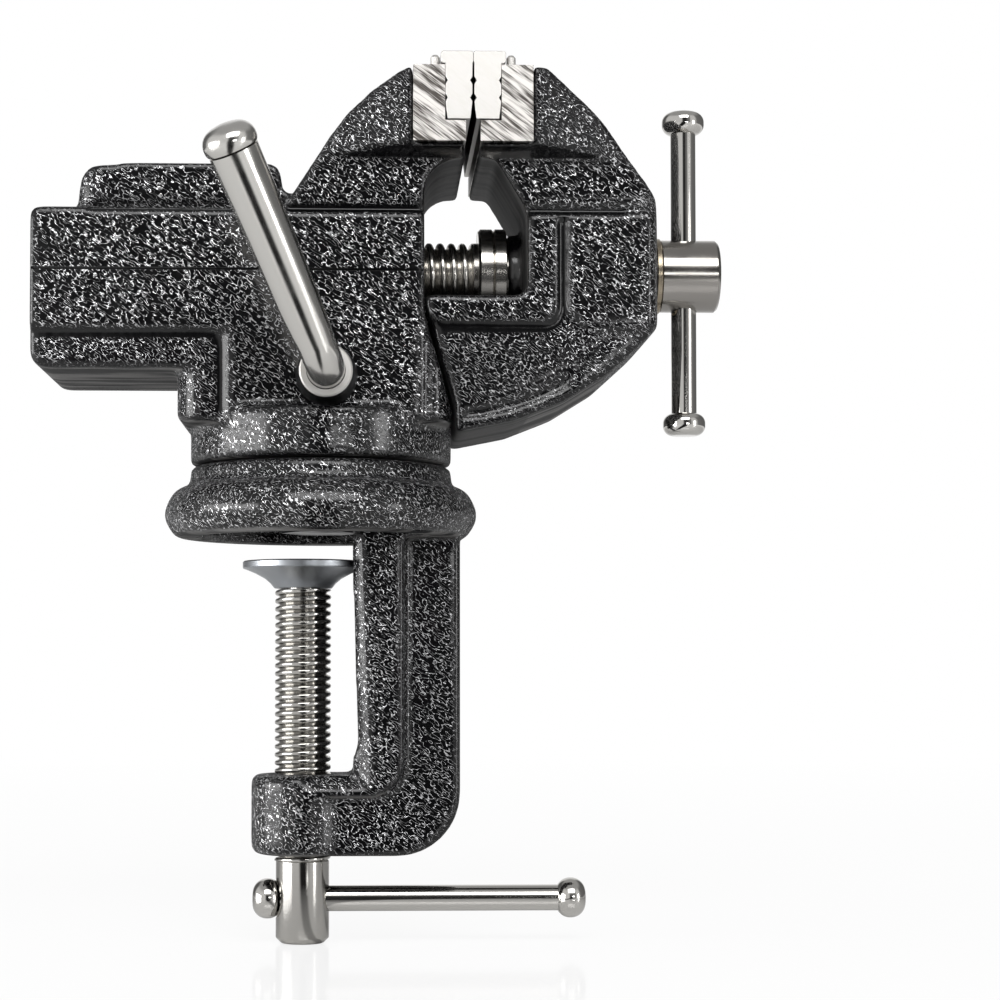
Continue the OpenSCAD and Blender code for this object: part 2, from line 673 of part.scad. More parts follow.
module lock_lever() color(bright) {
  translate([lock_x, 0, lock_z]) rod_y(lever_r, bend_start - bend_lap, hub_face + socket_d - slide_gap);
  lean_lever() translate([0, 0, bend_r]) rotate([0, 90, 0]) rotate([0, 0, -lever_turn])
    rotate_extrude(angle = lever_turn) translate([bend_r, 0]) circle(r = lever_r + bend_swell);
  at_bend_end() translate([0, 0, -bend_lap]) cylinder(r1 = lever_r, r2 = lever_end_r, h = lever_l + bend_lap);
}

module lever_cap() color(bright) at_bend_end() translate([0, 0, lever_l])
  rotate_extrude() polygon(outline([
    [0, 0, 0], [lever_end_r + 0.1, 0, 0.3], [lever_end_r + 0.6, cap_l * 0.4, 1.2],
    [lever_end_r - 0.2, cap_l, 3.4], [0, cap_l + 0.3, 0]]));

// Movable jaw with its slide, sill, window and the keel under it
far_side_x = body_face + seam + 0.1;
keel_foot_x = max(neck_front, skirt_r) + seam;
keel_z = skirt_bottom + 6.5;
keel_tip_l = 22.2;
keel_tip_rise = 3;
keel_foot = [keel_foot_x, keel_z];
keel_corner = [jaw_end - keel_tip_l, keel_z + keel_tip_rise];
end_corner = [jaw_end, slide_bottom + 1];
keel_half = acos(unit(end_corner - keel_corner) * unit(keel_foot - keel_corner)) / 2;
keel_r = (norm(keel_foot - keel_corner) - keel_toe) * tan(keel_half);
gate_x = far_plate_back - plate_foot - 0.2;
groove_x = window_end + 7.2;
sill_under = slide_top - 6.1;
arch_top = body_top - 0.7;
arch_lip = 4.3;
brow_top = body_top - 2;
brow_back = 15.6;
brow_rise = 10;
brow_round = 30;
end_back = 0.6;
end_top = body_top + 1.2;
end_round = 6;
face_top = spindle_z + 5.9;
rim_t = 2.6;
rim_groove = 2.8;

module movable_outline() polygon(outline([
  [gate_x, window_top, 0], [gate_x, jaw_seat, 0], [far_plate_back, jaw_seat, 0],
  [far_plate_back, plate_top, 0], [far_plate_back + 3.4, plate_top - 0.1, 2],
  [jaw_end - brow_back, window_top + brow_rise, brow_round], [jaw_end - end_back, end_top, end_round],
  [jaw_end, face_top, 3],
  [end_corner.x, end_corner.y, 5], [keel_corner.x, keel_corner.y, keel_r], [keel_foot_x, keel_z, 0],
  [keel_foot_x, neck_under + 1.4, 0], [far_side_x, slot_top + 1.4, 0], [far_side_x, slide_top, 0],
  [window_end, slide_top, edge_r], [window_end, arch_top, large_r], [gate_x + arch_lip, window_top, 2]]));

// Centre of the long curve under the jaw
function keel_centre() =
  keel_corner + unit(unit(end_corner - keel_corner) + unit(keel_foot - keel_corner)) * keel_r / sin(keel_half);

// Points from x0 to x1 on the arc of radius r about that centre
keel_steps = 8;
function keel_arc(r, x0, x1) =
  let (c = keel_centre())
  [for (i = [0:keel_steps])
    let (x = x0 + (x1 - x0) * i / keel_steps)
    [x, c.y - sqrt(r * r - (x - c.x) * (x - c.x))]];

module movable_jaw() color(iron) difference() {
  union() {
    intersection() {
      slab(body_w) movable_outline();
      linear_extrude(2 * plate_top) polygon(outline([
        [0, -side, 0], [jaw_end - 2.2, -side, 3], [jaw_end, -side * 0.4, large_r],
        [jaw_end, side * 0.4, large_r], [jaw_end - 2.2, side, 3], [0, side, 0]]));
    }
    outer_block(far_plate_back, far_plate_back + block_l) movable_outline();
    ledge(gate_x, far_plate_back + past);
    translate([0, 0, spindle_z]) rod_x(spindle_r + 2, boss_face, window_end + past);
    translate([-slide_back, -slide_w / 2, slide_bottom])
      cube([slide_back + window_end, slide_w, slide_t]);
  }
  translate([gate_x - past, -jaw_side - past, jaw_seat])
    cube([far_plate_back - gate_x + past, jaw_w + 2 * past, plate_top]);
  translate([0, 0, spindle_z]) {
    rod_x(spindle_r + run_fit, boss_face - past, jaw_end + past);
    rod_x(collar_r + slide_gap, -slide_back - past, boss_face);
  }
  plate_screw_holes(far_plate_back, -1);
  // Recesses beside the sill and the keel
  both_sides(panel_t) polygon(outline([
    [far_side_x - past, keel_z - past, 0], [far_side_x - past, sill_under, 0], [groove_x, sill_under, 3],
    [groove_x, brow_top, 0], [groove_x + 2.9, brow_top, 0], [groove_x + 2.9, sill_under + 3, 3],
    [groove_x + 8, sill_under - 2.4, 4], [jaw_end + past, sill_under - 1.4, 0],
    [jaw_end + past, keel_z - past, 0]]));
  both_sides(panel_t) translate([window_end - past, body_top - 1.2]) square([jaw_end - window_end, groove_w]);
  both_sides(2 * panel_t) polygon(concat(
    keel_arc(keel_r - rim_t, keel_foot_x + 1.5, keel_corner.x),
    reversed(keel_arc(keel_r - rim_t - rim_groove, keel_foot_x + 1.5, keel_corner.x))));
}

// Spindle with its head, washers, collar and bar
head_x = jaw_end + slide_gap + thrust_t;
thread_end = collar_x - 1;
pin_x = collar_x + collar_t / 2;
pin_r = 1.5;
rim_chamfer = 0.8;

module spindle() color(steel) difference() {
  translate([0, 0, spindle_z]) turned_x(concat(
    [[0, -spindle_back]], ridges(spindle_r, spindle_thread, spindle_pitch, -spindle_back, thread_end),
    [[spindle_r - spindle_thread, thread_end], [spindle_r, thread_end], [spindle_r, head_x], [head_r, head_x],
      [head_r, head_x + head_l - rim_chamfer], [head_r - rim_chamfer, head_x + head_l],
      [0, head_x + head_l]]));
  translate([bar_x, 0, spindle_z - head_r - past]) cylinder(r = spindle_bar_r + run_fit, h = 2 * (head_r + past));
  translate([pin_x, 0, spindle_z - spindle_r - past]) cylinder(r = pin_r + seat_fit, h = 2 * (spindle_r + past));
}

module thrust_washer() color(bronze) translate([jaw_end + slide_gap, 0, spindle_z]) rotate([0, 90, 0])
  ring(head_r + 0.4, spindle_r + run_fit, thrust_t);

module retaining_collar() color(steel) translate([collar_x, 0, spindle_z]) rotate([0, 90, 0]) difference() {
  ring(collar_r, spindle_r + seat_fit, collar_t);
  translate([-collar_r - past, 0, collar_t / 2]) rotate([0, 90, 0])
    cylinder(r = pin_r + seat_fit, h = 2 * (collar_r + past));
}

module collar_washer() color(bright) translate([collar_x + collar_t, 0, spindle_z]) rotate([0, 90, 0])
  ring(collar_r, spindle_r + run_fit, collar_washer_t);

module collar_pin() color(dark_steel) translate([pin_x, 0, spindle_z - collar_r + 0.6])
  cylinder(r = pin_r, h = 2 * (collar_r - 0.6));

// A bar along Z, centred on the origin, with a thin tenon at each end for its knob
tenon_l = 3;
tenon_r = 2.2;

module bar(r, l, knob_l) {
  cylinder(r = r, h = l - 2 * knob_l, center = true);
  cylinder(r = tenon_r, h = l - 2 * (knob_l - tenon_l), center = true);
}

// The two rounded knobs of such a bar; round is the share of the length that each rim takes
module knobs(r, l, knob_l, round)
  for (m = [0, 1])
    mirror([0, 0, m]) translate([0, 0, l / 2 - knob_l]) difference() {
      rotate_extrude() polygon(outline([
        [0, 0, 0], [r, 0, knob_l * round], [r, knob_l, knob_l * round], [0, knob_l, 0]]));
      translate([0, 0, -past]) cylinder(r = tenon_r + seat_fit, h = tenon_l + seat_fit + past);
    }

module spindle_bar() color(steel) translate([bar_x, 0, bar_z])
  bar(spindle_bar_r, spindle_bar_l, spindle_knob_l);

module spindle_bar_knobs() color(bright) translate([bar_x, 0, bar_z])
  knobs(spindle_knob_r, spindle_bar_l, spindle_knob_l, 0.44);

// Pad, its retainer, and the clamp screw with its ball end and head
socket_r = 6.2;
socket_roof = 2.2;
ball_r = 5.9;
ball_h = 2.4;
retainer_h = 1;
neck_r = 4.2;
pad_rim = 1.9;

module clamp_pad() color(steel) translate([-clamp_x, 0, screw_top]) difference() {
  rotate_extrude() polygon(outline([
    [0, 0, 0], [socket_r + 1.2, 0, 0.4], [pad_r - 0.3, pad_h - pad_rim, 0.5], [pad_r, pad_h, 0.5],
    [0, pad_h, 0]]));
  translate([0, 0, -past]) cylinder(r = socket_r, h = pad_h - socket_roof + past);
}

module pad_retainer() color(dark_steel) translate([-clamp_x, 0, screw_top])
  ring(socket_r - seat_fit, neck_r + run_fit, retainer_h);

bar_mouth_r = 4.9;
bar_mouth_d = 2.6;

module clamp_screw() color(steel) difference() {
  translate([-clamp_x, 0, 0]) rotate_extrude() polygon(concat(
    [[0, clamp_head_top - clamp_head_l], [clamp_head_r - 1.3, clamp_head_top - clamp_head_l],
      [clamp_head_r, clamp_head_top - clamp_head_l + 1.3], [clamp_head_r, clamp_head_top - 0.4],
      [clamp_head_r - 0.4, clamp_head_top]],
    ridges(clamp_r, clamp_thread, clamp_pitch, clamp_head_top, screw_top - slide_gap),
    [[clamp_r - clamp_thread, screw_top - slide_gap], [neck_r, screw_top - slide_gap],
      [neck_r, screw_top + retainer_h + slide_gap], [ball_r, screw_top + retainer_h + slide_gap],
      [ball_r, screw_top + retainer_h + slide_gap + ball_h - 0.6],
      [ball_r - 1.5, screw_top + pad_h - socket_roof - slide_gap],
      [0, screw_top + pad_h - socket_roof - slide_gap]]));
  translate([0, 0, clamp_bar_z]) {
    rod_x(clamp_bar_r + run_fit, -clamp_x - clamp_head_r - past, -clamp_x + clamp_head_r + past);
    translate([-clamp_x - clamp_head_r - past, 0, 0]) rotate([0, 90, 0])
      cylinder(r1 = bar_mouth_r + past, r2 = clamp_bar_r + run_fit, h = bar_mouth_d + past);
  }
}

module along_clamp_bar() translate([clamp_knob_x + clamp_bar_l / 2, 0, clamp_bar_z]) rotate([0, 90, 0]) children();

module clamp_bar() color(steel) along_clamp_bar() bar(clamp_bar_r, clamp_bar_l, clamp_knob_l);

module clamp_bar_knobs() color(bright) along_clamp_bar() knobs(clamp_knob_r, clamp_bar_l, clamp_knob_l, 0.48);

clamp_frame();
pivot_washer();
pivot_bolt();
vise_body();
fixed_jaw_plate();
fixed_jaw_insert();
fixed_plate_screws();
fixed_insert_pins();
spindle_nut();
nut_grub_screw();
lock_plug();
lever_hub();
lever_collar();
lock_lever();
lever_cap();
movable_jaw();
movable_jaw_plate();
movable_jaw_insert();
movable_plate_screws();
movable_insert_pins();
spindle();
thrust_washer();
retaining_collar();
collar_washer();
collar_pin();
spindle_bar();
spindle_bar_knobs();
clamp_pad();
pad_retainer();
clamp_screw();
clamp_bar();
clamp_bar_knobs();
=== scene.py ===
# %% [markdown]
# A clamp-on table vise, dressed in Blender
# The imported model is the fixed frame: it says where every piece sits and how it moves.
# This lesson adds soft cast edges, helical threads, rounded knobs and the finishes of the
# real thing, without changing any size. Blender counts in metres. The pieces' own sizes are
# written in millimetres and multiplied by MM.

# %% Load the frame and note its box
import math
import bmesh
import bpy
import numpy as np
from mathutils import Matrix, Vector


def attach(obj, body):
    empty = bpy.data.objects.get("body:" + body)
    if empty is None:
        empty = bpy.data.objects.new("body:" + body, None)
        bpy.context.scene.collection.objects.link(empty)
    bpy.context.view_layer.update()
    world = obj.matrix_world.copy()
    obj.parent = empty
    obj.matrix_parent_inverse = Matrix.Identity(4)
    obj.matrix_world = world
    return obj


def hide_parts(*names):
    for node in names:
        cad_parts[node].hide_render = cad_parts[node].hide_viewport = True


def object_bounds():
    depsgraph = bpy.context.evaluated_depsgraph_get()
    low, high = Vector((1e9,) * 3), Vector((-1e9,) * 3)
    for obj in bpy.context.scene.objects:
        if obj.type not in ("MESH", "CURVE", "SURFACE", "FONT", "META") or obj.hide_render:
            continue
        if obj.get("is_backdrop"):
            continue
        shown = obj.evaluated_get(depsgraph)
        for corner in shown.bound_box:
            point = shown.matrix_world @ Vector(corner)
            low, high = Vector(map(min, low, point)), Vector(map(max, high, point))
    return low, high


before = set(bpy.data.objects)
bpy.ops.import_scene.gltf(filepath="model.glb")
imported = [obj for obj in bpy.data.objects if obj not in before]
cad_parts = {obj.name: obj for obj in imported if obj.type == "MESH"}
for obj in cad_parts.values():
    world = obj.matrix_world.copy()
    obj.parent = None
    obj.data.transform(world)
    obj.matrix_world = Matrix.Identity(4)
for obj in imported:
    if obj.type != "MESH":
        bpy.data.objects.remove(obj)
cad_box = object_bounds()

MM = 0.001
MERGE = 0.002 * MM  # points closer than this are one point
X, Y, Z = 0, 1, 2
scene = bpy.context.scene

# %% [markdown]
# The photographer stood a little under 0.6 m away, below the jaws and above the clamp screw,
# with the lens shifted up and to the left, so that the uprights of the vise stay upright in the
# picture. The place, the two angles and the shift were worked out from the perspective of known
# edges. The shift is kept small, because every other view keeps it too.

# %% Camera
VIEW_FROM = Vector((10.65, -572.25, -32.58)) * MM
LENS_MM, SENSOR_MM = 82.78, 36
PAN, TILT = math.radians(1.899), math.radians(2.48)
SHIFT_RIGHT, SHIFT_UP = 0.06, 0.07
CLIP_NEAR, CLIP_FAR = 0.01, 50

lens = bpy.data.cameras.new("photo_lens")
lens.lens, lens.sensor_width = LENS_MM, SENSOR_MM
lens.shift_x, lens.shift_y = SHIFT_RIGHT, SHIFT_UP
lens.clip_start, lens.clip_end = CLIP_NEAR, CLIP_FAR
camera = bpy.data.objects.new("photo_camera", lens)
camera.location = VIEW_FROM
camera.rotation_euler = (math.pi / 2 + TILT, 0, -PAN)
scene.collection.objects.link(camera)
scene.camera = camera
print("camera looks along", [round(v, 3) for v in camera.rotation_euler])

# %% [markdown]
# Every finish is a small tree of nodes. One helper adds a node, sets it and links it. The others
# add the kinds of node that come back often and return what comes out of them. Hex colours are
# what a picture editor shows, so they are turned into linear light.

# %% Helpers for finishes
def linear(hex_colour):
    channels = [int(hex_colour[i:i + 2], 16) / 255 for i in (1, 3, 5)]
    return [c / 12.92 if c <= 0.04045 else ((c + 0.055) / 1.055) ** 2.4 for c in channels] + [1]


def grey(level):
    return (level, level, level, 1)


def per_metre(mm):
    """Scale of a texture whose features are that many millimetres apart."""
    return 1 / (mm * MM)


def add(tree, kind, sockets=None, **settings):
    made = tree.nodes.new(kind)
    for name, value in settings.items():
        setattr(made, name, value)
    for key, value in (sockets or {}).items():
        if isinstance(value, bpy.types.NodeSocket):
            tree.links.new(value, made.inputs[key])
        else:
            made.inputs[key].default_value = value
    return made


def calculate(tree, operation, *values, **settings):
    sockets = dict(enumerate(values))
    return add(tree, "ShaderNodeMath", sockets, operation=operation, **settings).outputs[0]


def in_range(tree, value, low, high, at_low=0.0, at_high=1.0, **settings):
    """Turns low..high into at_low..at_high, and stops at both ends."""
    sockets = {"Value": value, "From Min": low, "From Max": high,
               "To Min": at_low, "To Max": at_high}
    return add(tree, "ShaderNodeMapRange", sockets, **settings).outputs[0]


def blend(tree, share, first, second):
    sockets = {0: share, "A": first, "B": second}
    return add(tree, "ShaderNodeMix", sockets, data_type="RGBA").outputs["Result"]


def noise(tree, vector, scale, detail, output=0, **more):
    sockets = {"Vector": vector, "Scale": scale, "Detail": detail, **more}
    return add(tree, "ShaderNodeTexNoise", sockets).outputs[output]


def stretched(tree, place, sizes, degrees=0):
    """Coordinates divided by sizes along X, Y and Z, after a turn in the end faces' plane."""
    sockets = {"Vector": place, "Rotation": (0, math.radians(degrees), 0), "Scale": sizes}
    return add(tree, "ShaderNodeMapping", sockets, vector_type="TEXTURE").outputs[0]


def bump(tree, height, depth_mm, **more):
    sockets = {"Height": height, "Strength": 1, "Distance": depth_mm * MM, **more}
    return add(tree, "ShaderNodeBump", sockets).outputs[0]


def attribute(tree, name):
    return add(tree, "ShaderNodeAttribute", attribute_name=name).outputs["Fac"]


def one_or_other(tree, share, first, second):
    return add(tree, "ShaderNodeMixShader", {0: share, 1: first, 2: second}).outputs[0]


def new_finish(name, colour, metallic, roughness):
    """A finish with its shader and the object's own coordinates."""
    finish = bpy.data.materials.new(name)
    finish.use_nodes = True
    tree = finish.node_tree
    tree.nodes.clear()
    shader = add(tree, "ShaderNodeBsdfPrincipled",
                 {"Base Color": linear(colour), "Metallic": metallic, "Roughness": roughness})
    add(tree, "ShaderNodeOutputMaterial", {"Surface": shader.outputs["BSDF"]})
    place = add(tree, "ShaderNodeTexCoord").outputs["Object"]
    return finish, tree, shader, place


# %% [markdown]
# Wrinkle enamel over cast iron. The paint shrinks as it is baked and dries into short winding
# ridges a little under a millimetre apart, which lean from upper left to lower right. Their
# glossy flanks throw back sparks of the lamps and the paint between them stays black. The
# ridges lie where a noise crosses its middle value. A wider noise bends them and another makes
# some of them fainter. On rounded edges and in grooves the paint flows smooth: each casting
# carries that as an attribute called flat. The same attribute holds painted shade too: where it
# is lowered, on undersides, in the window, in channels and in a few patches, the ridges and their
# bright sparks go and the paint turns darker. A second one called ground tells where a grinder
# left grey streaks, which are weakened in the window as painted shade. Seen at a low angle the
# paint is dull.

# %% Wrinkle enamel
SLANT = 37  # degrees, of the wrinkles here and of the cutter's marks on the jaw plates
BLACK_PAINT, SPARK, GROUND_IRON = "#060607", "#f4f4f6", "#5c5b5a"
PAINT_IOR, PAINT_GLOSS, PAINT_DULL = 1.4, 0.16, 0.75
DULL_FROM, DULL_TO = 0.55, 0.85
WRINKLE_MM, WRINKLE_STRETCH = 0.72, (1.9, 1, 0.8)
BEND_MM, BEND_BY_MM = 1.4, 0.35
RIDGE_WIDTH, RIDGE_SHINE_WIDTH, RIDGE_HEIGHT_MM = 0.07, 0.055, 0.07
PATCH_MM, FAINT_BELOW, FULL_ABOVE, FAINTEST = 0.9, 0.4, 0.56, 0.05
STREAK_MM, STREAK_FROM, STREAK_FULL = (40, 5, 40), 0.44, 0.58
UNEVEN_MM, UNEVEN_HEIGHT_MM = 6, 0.18


def wrinkle_enamel():
    finish, tree, shader, place = new_finish("wrinkle_enamel", BLACK_PAINT, 0, PAINT_GLOSS)
    shader.inputs["IOR"].default_value = PAINT_IOR
    lean = stretched(tree, place, WRINKLE_STRETCH, SLANT)
    bend = noise(tree, lean, per_metre(BEND_MM), 1, output="Color")
    offset = add(tree, "ShaderNodeVectorMath", {0: bend, 1: (BEND_BY_MM * MM,) * 3},
                 operation="MULTIPLY")
    bent = add(tree, "ShaderNodeVectorMath", {0: lean, 1: offset.outputs[0]}, operation="ADD")
    worms = noise(tree, bent.outputs[0], per_metre(WRINKLE_MM), 0)
    from_middle = calculate(tree, "ABSOLUTE", calculate(tree, "SUBTRACT", worms, 0.5))
    # flat is 1 where wrinkles show; it is lowered for smooth paint and for painted shade
    flat = attribute(tree, "flat")

    def ridge(width, profile):
        height = in_range(tree, from_middle, 0, width, 1, 0, interpolation_type=profile)
        return calculate(tree, "MULTIPLY", height, flat)

    patches = noise(tree, place, per_metre(PATCH_MM), 1)
    full = in_range(tree, patches, FAINT_BELOW, FULL_ABOVE, FAINTEST, 1)
    shine = calculate(tree, "MULTIPLY", ridge(RIDGE_SHINE_WIDTH, "SMOOTHERSTEP"), full)
    tone = blend(tree, shine, linear(BLACK_PAINT), linear(SPARK))
    streaks = noise(tree, stretched(tree, place, [mm * MM for mm in STREAK_MM]), 1, 3)
    bare = calculate(tree, "MULTIPLY", in_range(tree, streaks, STREAK_FROM, STREAK_FULL),
                     attribute(tree, "ground"))
    low_angle = add(tree, "ShaderNodeLayerWeight").outputs["Facing"]
    cast = bump(tree, noise(tree, place, per_metre(UNEVEN_MM), 2), UNEVEN_HEIGHT_MM)
    skin = bump(tree, ridge(RIDGE_WIDTH, "SMOOTHSTEP"), RIDGE_HEIGHT_MM, Normal=cast)
    for result, socket in (
            (shine, "Metallic"), (blend(tree, bare, tone, linear(GROUND_IRON)), "Base Color"),
            (in_range(tree, low_angle, DULL_FROM, DULL_TO, PAINT_GLOSS, PAINT_DULL), "Roughness"),
            (skin, "Normal")):
        tree.links.new(result, shader.inputs[socket])
    return finish


enamel = wrinkle_enamel()
print("made", enamel.name)

# %% [markdown]
# Cut and ground steel. The jaw plates were faced with a wide cutter that left slanting bands,
# some bright and some dull, with fine scratches along them. The inserts were ground finer and
# look almost white. Both are stretched noises, turned in the plane of the end faces: a texture
# mapping turns first and stretches after, so the marks lie along the slant. The faces inside the
# gap between the jaws get painted shade: an attribute marks them, and their colour is darkened.

# %% Milled and ground steel
# The first colour is painted shade for the faces inside the gap between the jaws
PAINTED_GAP_SHADE, LINE_SHARE, MARK_ROUGHNESS = "#35322f", 0.45, 0.6
DULL_UP_TO, BRIGHT_FROM = 0.42, 0.55


def scratched_steel(name, bright, dull, roughness, band_mm, line_mm, depth_mm):
    """Bands and lines are given as length and width."""
    finish, tree, shader, place = new_finish(name, bright, 1, roughness)
    bands, lines = [
        noise(tree, stretched(tree, place, (length * MM, length * MM, width * MM), SLANT), 1, 2,
              Roughness=MARK_ROUGHNESS) for length, width in (band_mm, line_mm)]
    both = add(tree, "ShaderNodeMix", {0: LINE_SHARE, 2: bands, 3: lines})
    tone = add(tree, "ShaderNodeValToRGB", {"Fac": both.outputs[0]})
    steps = ((DULL_UP_TO, dull), (BRIGHT_FROM, bright))
    for element, (position, colour) in zip(tone.color_ramp.elements, steps):
        element.position, element.color = position, linear(colour)
    # Painted shade: the faces in the gap take the darker colour
    metal = blend(tree, attribute(tree, "gap_shade"), tone.outputs[0], linear(PAINTED_GAP_SHADE))
    tree.links.new(metal, shader.inputs["Base Color"])
    tree.links.new(bump(tree, lines, depth_mm), shader.inputs["Normal"])
    return finish


# Slanting bright and dull bands with fine scratches, as a wide cutter leaves them
milled_steel = scratched_steel("milled_steel", "#cfccc8", "#4c4845", 0.42, (12, 1.5), (7, 0.3),
                               0.03)
# Even and almost white, with marks too fine to tell apart
ground_steel = scratched_steel("ground_steel", "#c6c4c1", "#c4c2be", 0.5, (6, 1.5), (3, 0.4),
                               0.01)
print("made", milled_steel.name, "and", ground_steel.name)

# %% [markdown]
# Turned steel has fine rings round its axis, left by the lathe. Polished bars and knobs have
# lost them and mirror the studio. The lever is chromed and brushed, so its highlights are soft.
# Stains of a few millimetres vary the gloss of all of them a little.

# %% Turned, polished and brushed steel
RING_LENGTH_MM, STAIN_MM = 30, 7
STAIN_FROM, STAIN_TO = 0.3, 0.7
GLOSSIER, DULLER = 0.75, 1.35


def lathe_steel(name, colour, roughness, ring_mm, depth_mm, axis):
    finish, tree, shader, place = new_finish(name, colour, 1, roughness)
    stretch = [per_metre(RING_LENGTH_MM)] * 3
    stretch[axis] = per_metre(ring_mm)
    rings = add(tree, "ShaderNodeMapping", {"Vector": place, "Scale": stretch}).outputs[0]
    stains = noise(tree, place, per_metre(STAIN_MM), 3)
    gloss = in_range(tree, stains, STAIN_FROM, STAIN_TO, roughness * GLOSSIER, roughness * DULLER)
    tree.links.new(gloss, shader.inputs["Roughness"])
    tree.links.new(bump(tree, noise(tree, rings, 1, 3), depth_mm), shader.inputs["Normal"])
    return finish


# Dark and mirroring, with rings round the spindle head
turned_x_steel = lathe_steel("turned_steel_x", "#8f8c88", 0.17, 0.25, 0.006, X)
# The same cut, painted paler for the thread and the collar: a painted highlight where they catch
# the light
bright_x_steel = lathe_steel("bright_turned_steel", "#c4c1bc", 0.2, 0.25, 0.006, X)
# The clamp screw: clear reflections broken up by its thread
turned_z_steel = lathe_steel("turned_steel_z", "#acaaa6", 0.13, 0.25, 0.006, Z)
# Bars and knobs: hard black and white stripes of the studio
polished_steel = lathe_steel("polished_steel", "#bcbab6", 0.09, 0.6, 0.002, Z)
# The lever: softer stripes that fade at their edges
chromed_lever = lathe_steel("satin_chrome", "#c3c1bd", 0.17, 0.3, 0.004, Z)
# The pad: a dull, slightly blue sheen without stripes
satin_steel = lathe_steel("satin_steel", "#989b9f", 0.36, 0.4, 0.004, Z)
# The lever's hub and the hidden screws: nearly black with a broad sheen
oxide_steel = lathe_steel("black_oxide_steel", "#2b2b2d", 0.38, 0.4, 0.006, Z)
# The washer behind the spindle head and the nut: warm and darkened by oil
bronze = lathe_steel("machined_bronze", "#8d8373", 0.28, 0.3, 0.006, X)
print("finishes so far:", len(bpy.data.materials))

# %% [markdown]
# New pieces are shaped as a bmesh and handed over once. Seams are closed and faces turned
# outwards, and edges sharper than 30 degrees stay crisp. The frame is then told which body the
# piece rides on and which solid it replaces.

# %% Helpers for pieces
CRISP_DEGREES = 30
ALONG_X = Matrix.Rotation(math.pi / 2, 4, "Y")


def merged_copy(node):
    bm = bmesh.new()
    bm.from_mesh(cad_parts[node].data)
    bmesh.ops.remove_doubles(bm, verts=bm.verts, dist=MERGE)
    return bm


def to_object(bm, name):
    bmesh.ops.remove_doubles(bm, verts=bm.verts, dist=MERGE)
    bmesh.ops.recalc_face_normals(bm, faces=bm.faces)
    mesh = bpy.data.meshes.new(name)
    bm.to_mesh(mesh)
    bm.free()
    made = bpy.data.objects.new(name, mesh)
    scene.collection.objects.link(made)
    return made


def shade(piece, degrees=CRISP_DEGREES):
    piece.data.shade_smooth()
    piece.data.set_sharp_from_angle(angle=math.radians(degrees))


def hand_over(piece, finish, body, slot, *stands_for):
    piece.data.materials.clear()
    piece.data.materials.append(finish)
    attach(piece, body)
    if stands_for:
        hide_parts(*stands_for)
    print(f"{piece.name}: {len(piece.data.polygons)} faces on {body}")


def evaluated_mesh(piece):
    """The piece's mesh with its modifiers applied."""
    graph = bpy.context.evaluated_depsgraph_get()
    return bpy.data.meshes.new_from_object(piece.evaluated_get(graph))


def spun(bm, profile, steps, **settings):
    """Spins (height, radius) points, in mm, round the Z axis."""
    points = [bm.verts.new((r * MM, 0, h * MM)) for h, r in profile]
    edges = [bm.edges.new(pair) for pair in zip(points, points[1:])]
    bmesh.ops.spin(bm, geom=points + edges, cent=(0, 0, 0), axis=(0, 0, 1), steps=steps, **settings)
    bmesh.ops.remove_doubles(bm, verts=bm.verts, dist=MERGE)
    return bm


def turned(profile, steps=96):
    return spun(bmesh.new(), profile, steps, angle=2 * math.pi, use_merge=True)


def placed(bm, matrix):
    bmesh.ops.transform(bm, matrix=matrix, verts=bm.verts)
    return bm


def joined(*parts):
    whole = bmesh.new()
    for bm in parts:
        carrier = bpy.data.meshes.new("carrier")
        bm.to_mesh(carrier)
        bm.free()
        whole.from_mesh(carrier)
        bpy.data.meshes.remove(carrier)
    return whole


def at(x, y, z):
    return Matrix.Translation(Vector((x, y, z)) * MM)


# %% [markdown]
# The three castings. A sand casting has no sharp edge: the outer ones are rounded by a
# millimetre or two, while the inner ones stay narrow. A copy of each solid is merged and rebuilt
# from small voxels, which joins its faces into one skin. That skin is smoothed twice, a little
# and a lot, and each point takes the strong version only where it pulls the surface inwards,
# which is on the outer edges. A bevel would be lighter, but it fails where small faces meet.
# Smoothing lowers the tips of the jaws, so their last millimetres are stretched up again.
# How far the two versions lie apart also tells where the surface is flat enough for wrinkles. The
# smooth zone along each edge is widened by a few points.

# %% Cast skins
VOXEL_MM = 0.8
FEW_ROUNDS, MANY_ROUNDS, SMOOTH_FACTOR = 3, 10, 0.5
BLEND_MM, MOST_MM = 0.03, 0.5
TIP_MM = 6
SMOOTH_PAINT_MM, FLAT_BIAS, WIDEN = 0.16, 1.3, 1
UNDERSIDE, UNDERSIDES_BELOW = -0.8, 0.06
# Share of the grinder streaks in the window, lowered as painted shade
SHADED_GROUND_IN_WINDOW = 0.35


def vectors(mesh, what="vertices", field="co"):
    values = np.empty(len(getattr(mesh, what)) * 3, dtype=np.float32)
    getattr(mesh, what).foreach_get(field, values)
    return values.reshape(-1, 3)


def voxel_skins(piece):
    """The slightly and the strongly smoothed skin of a piece."""
    skin = piece.modifiers.new("skin", "REMESH")
    skin.mode, skin.voxel_size, skin.adaptivity = "VOXEL", VOXEL_MM * MM, 0
    soft = piece.modifiers.new("soft", "SMOOTH")
    soft.factor = SMOOTH_FACTOR
    versions = []
    for soft.iterations in (FEW_ROUNDS, MANY_ROUNDS):
        versions.append(evaluated_mesh(piece))
    piece.modifiers.clear()
    return versions


def widened(mesh, wrinkled):
    """Each point takes the lowest value of its neighbours."""
    ends = np.empty(len(mesh.edges) * 2, dtype=np.int32)
    mesh.edges.foreach_get("vertices", ends)
    for _ in range(WIDEN):
        before = wrinkled.copy()
        np.minimum.at(wrinkled, ends[0::2], before[ends[1::2]])
        np.minimum.at(wrinkled, ends[1::2], before[ends[0::2]])
    return wrinkled


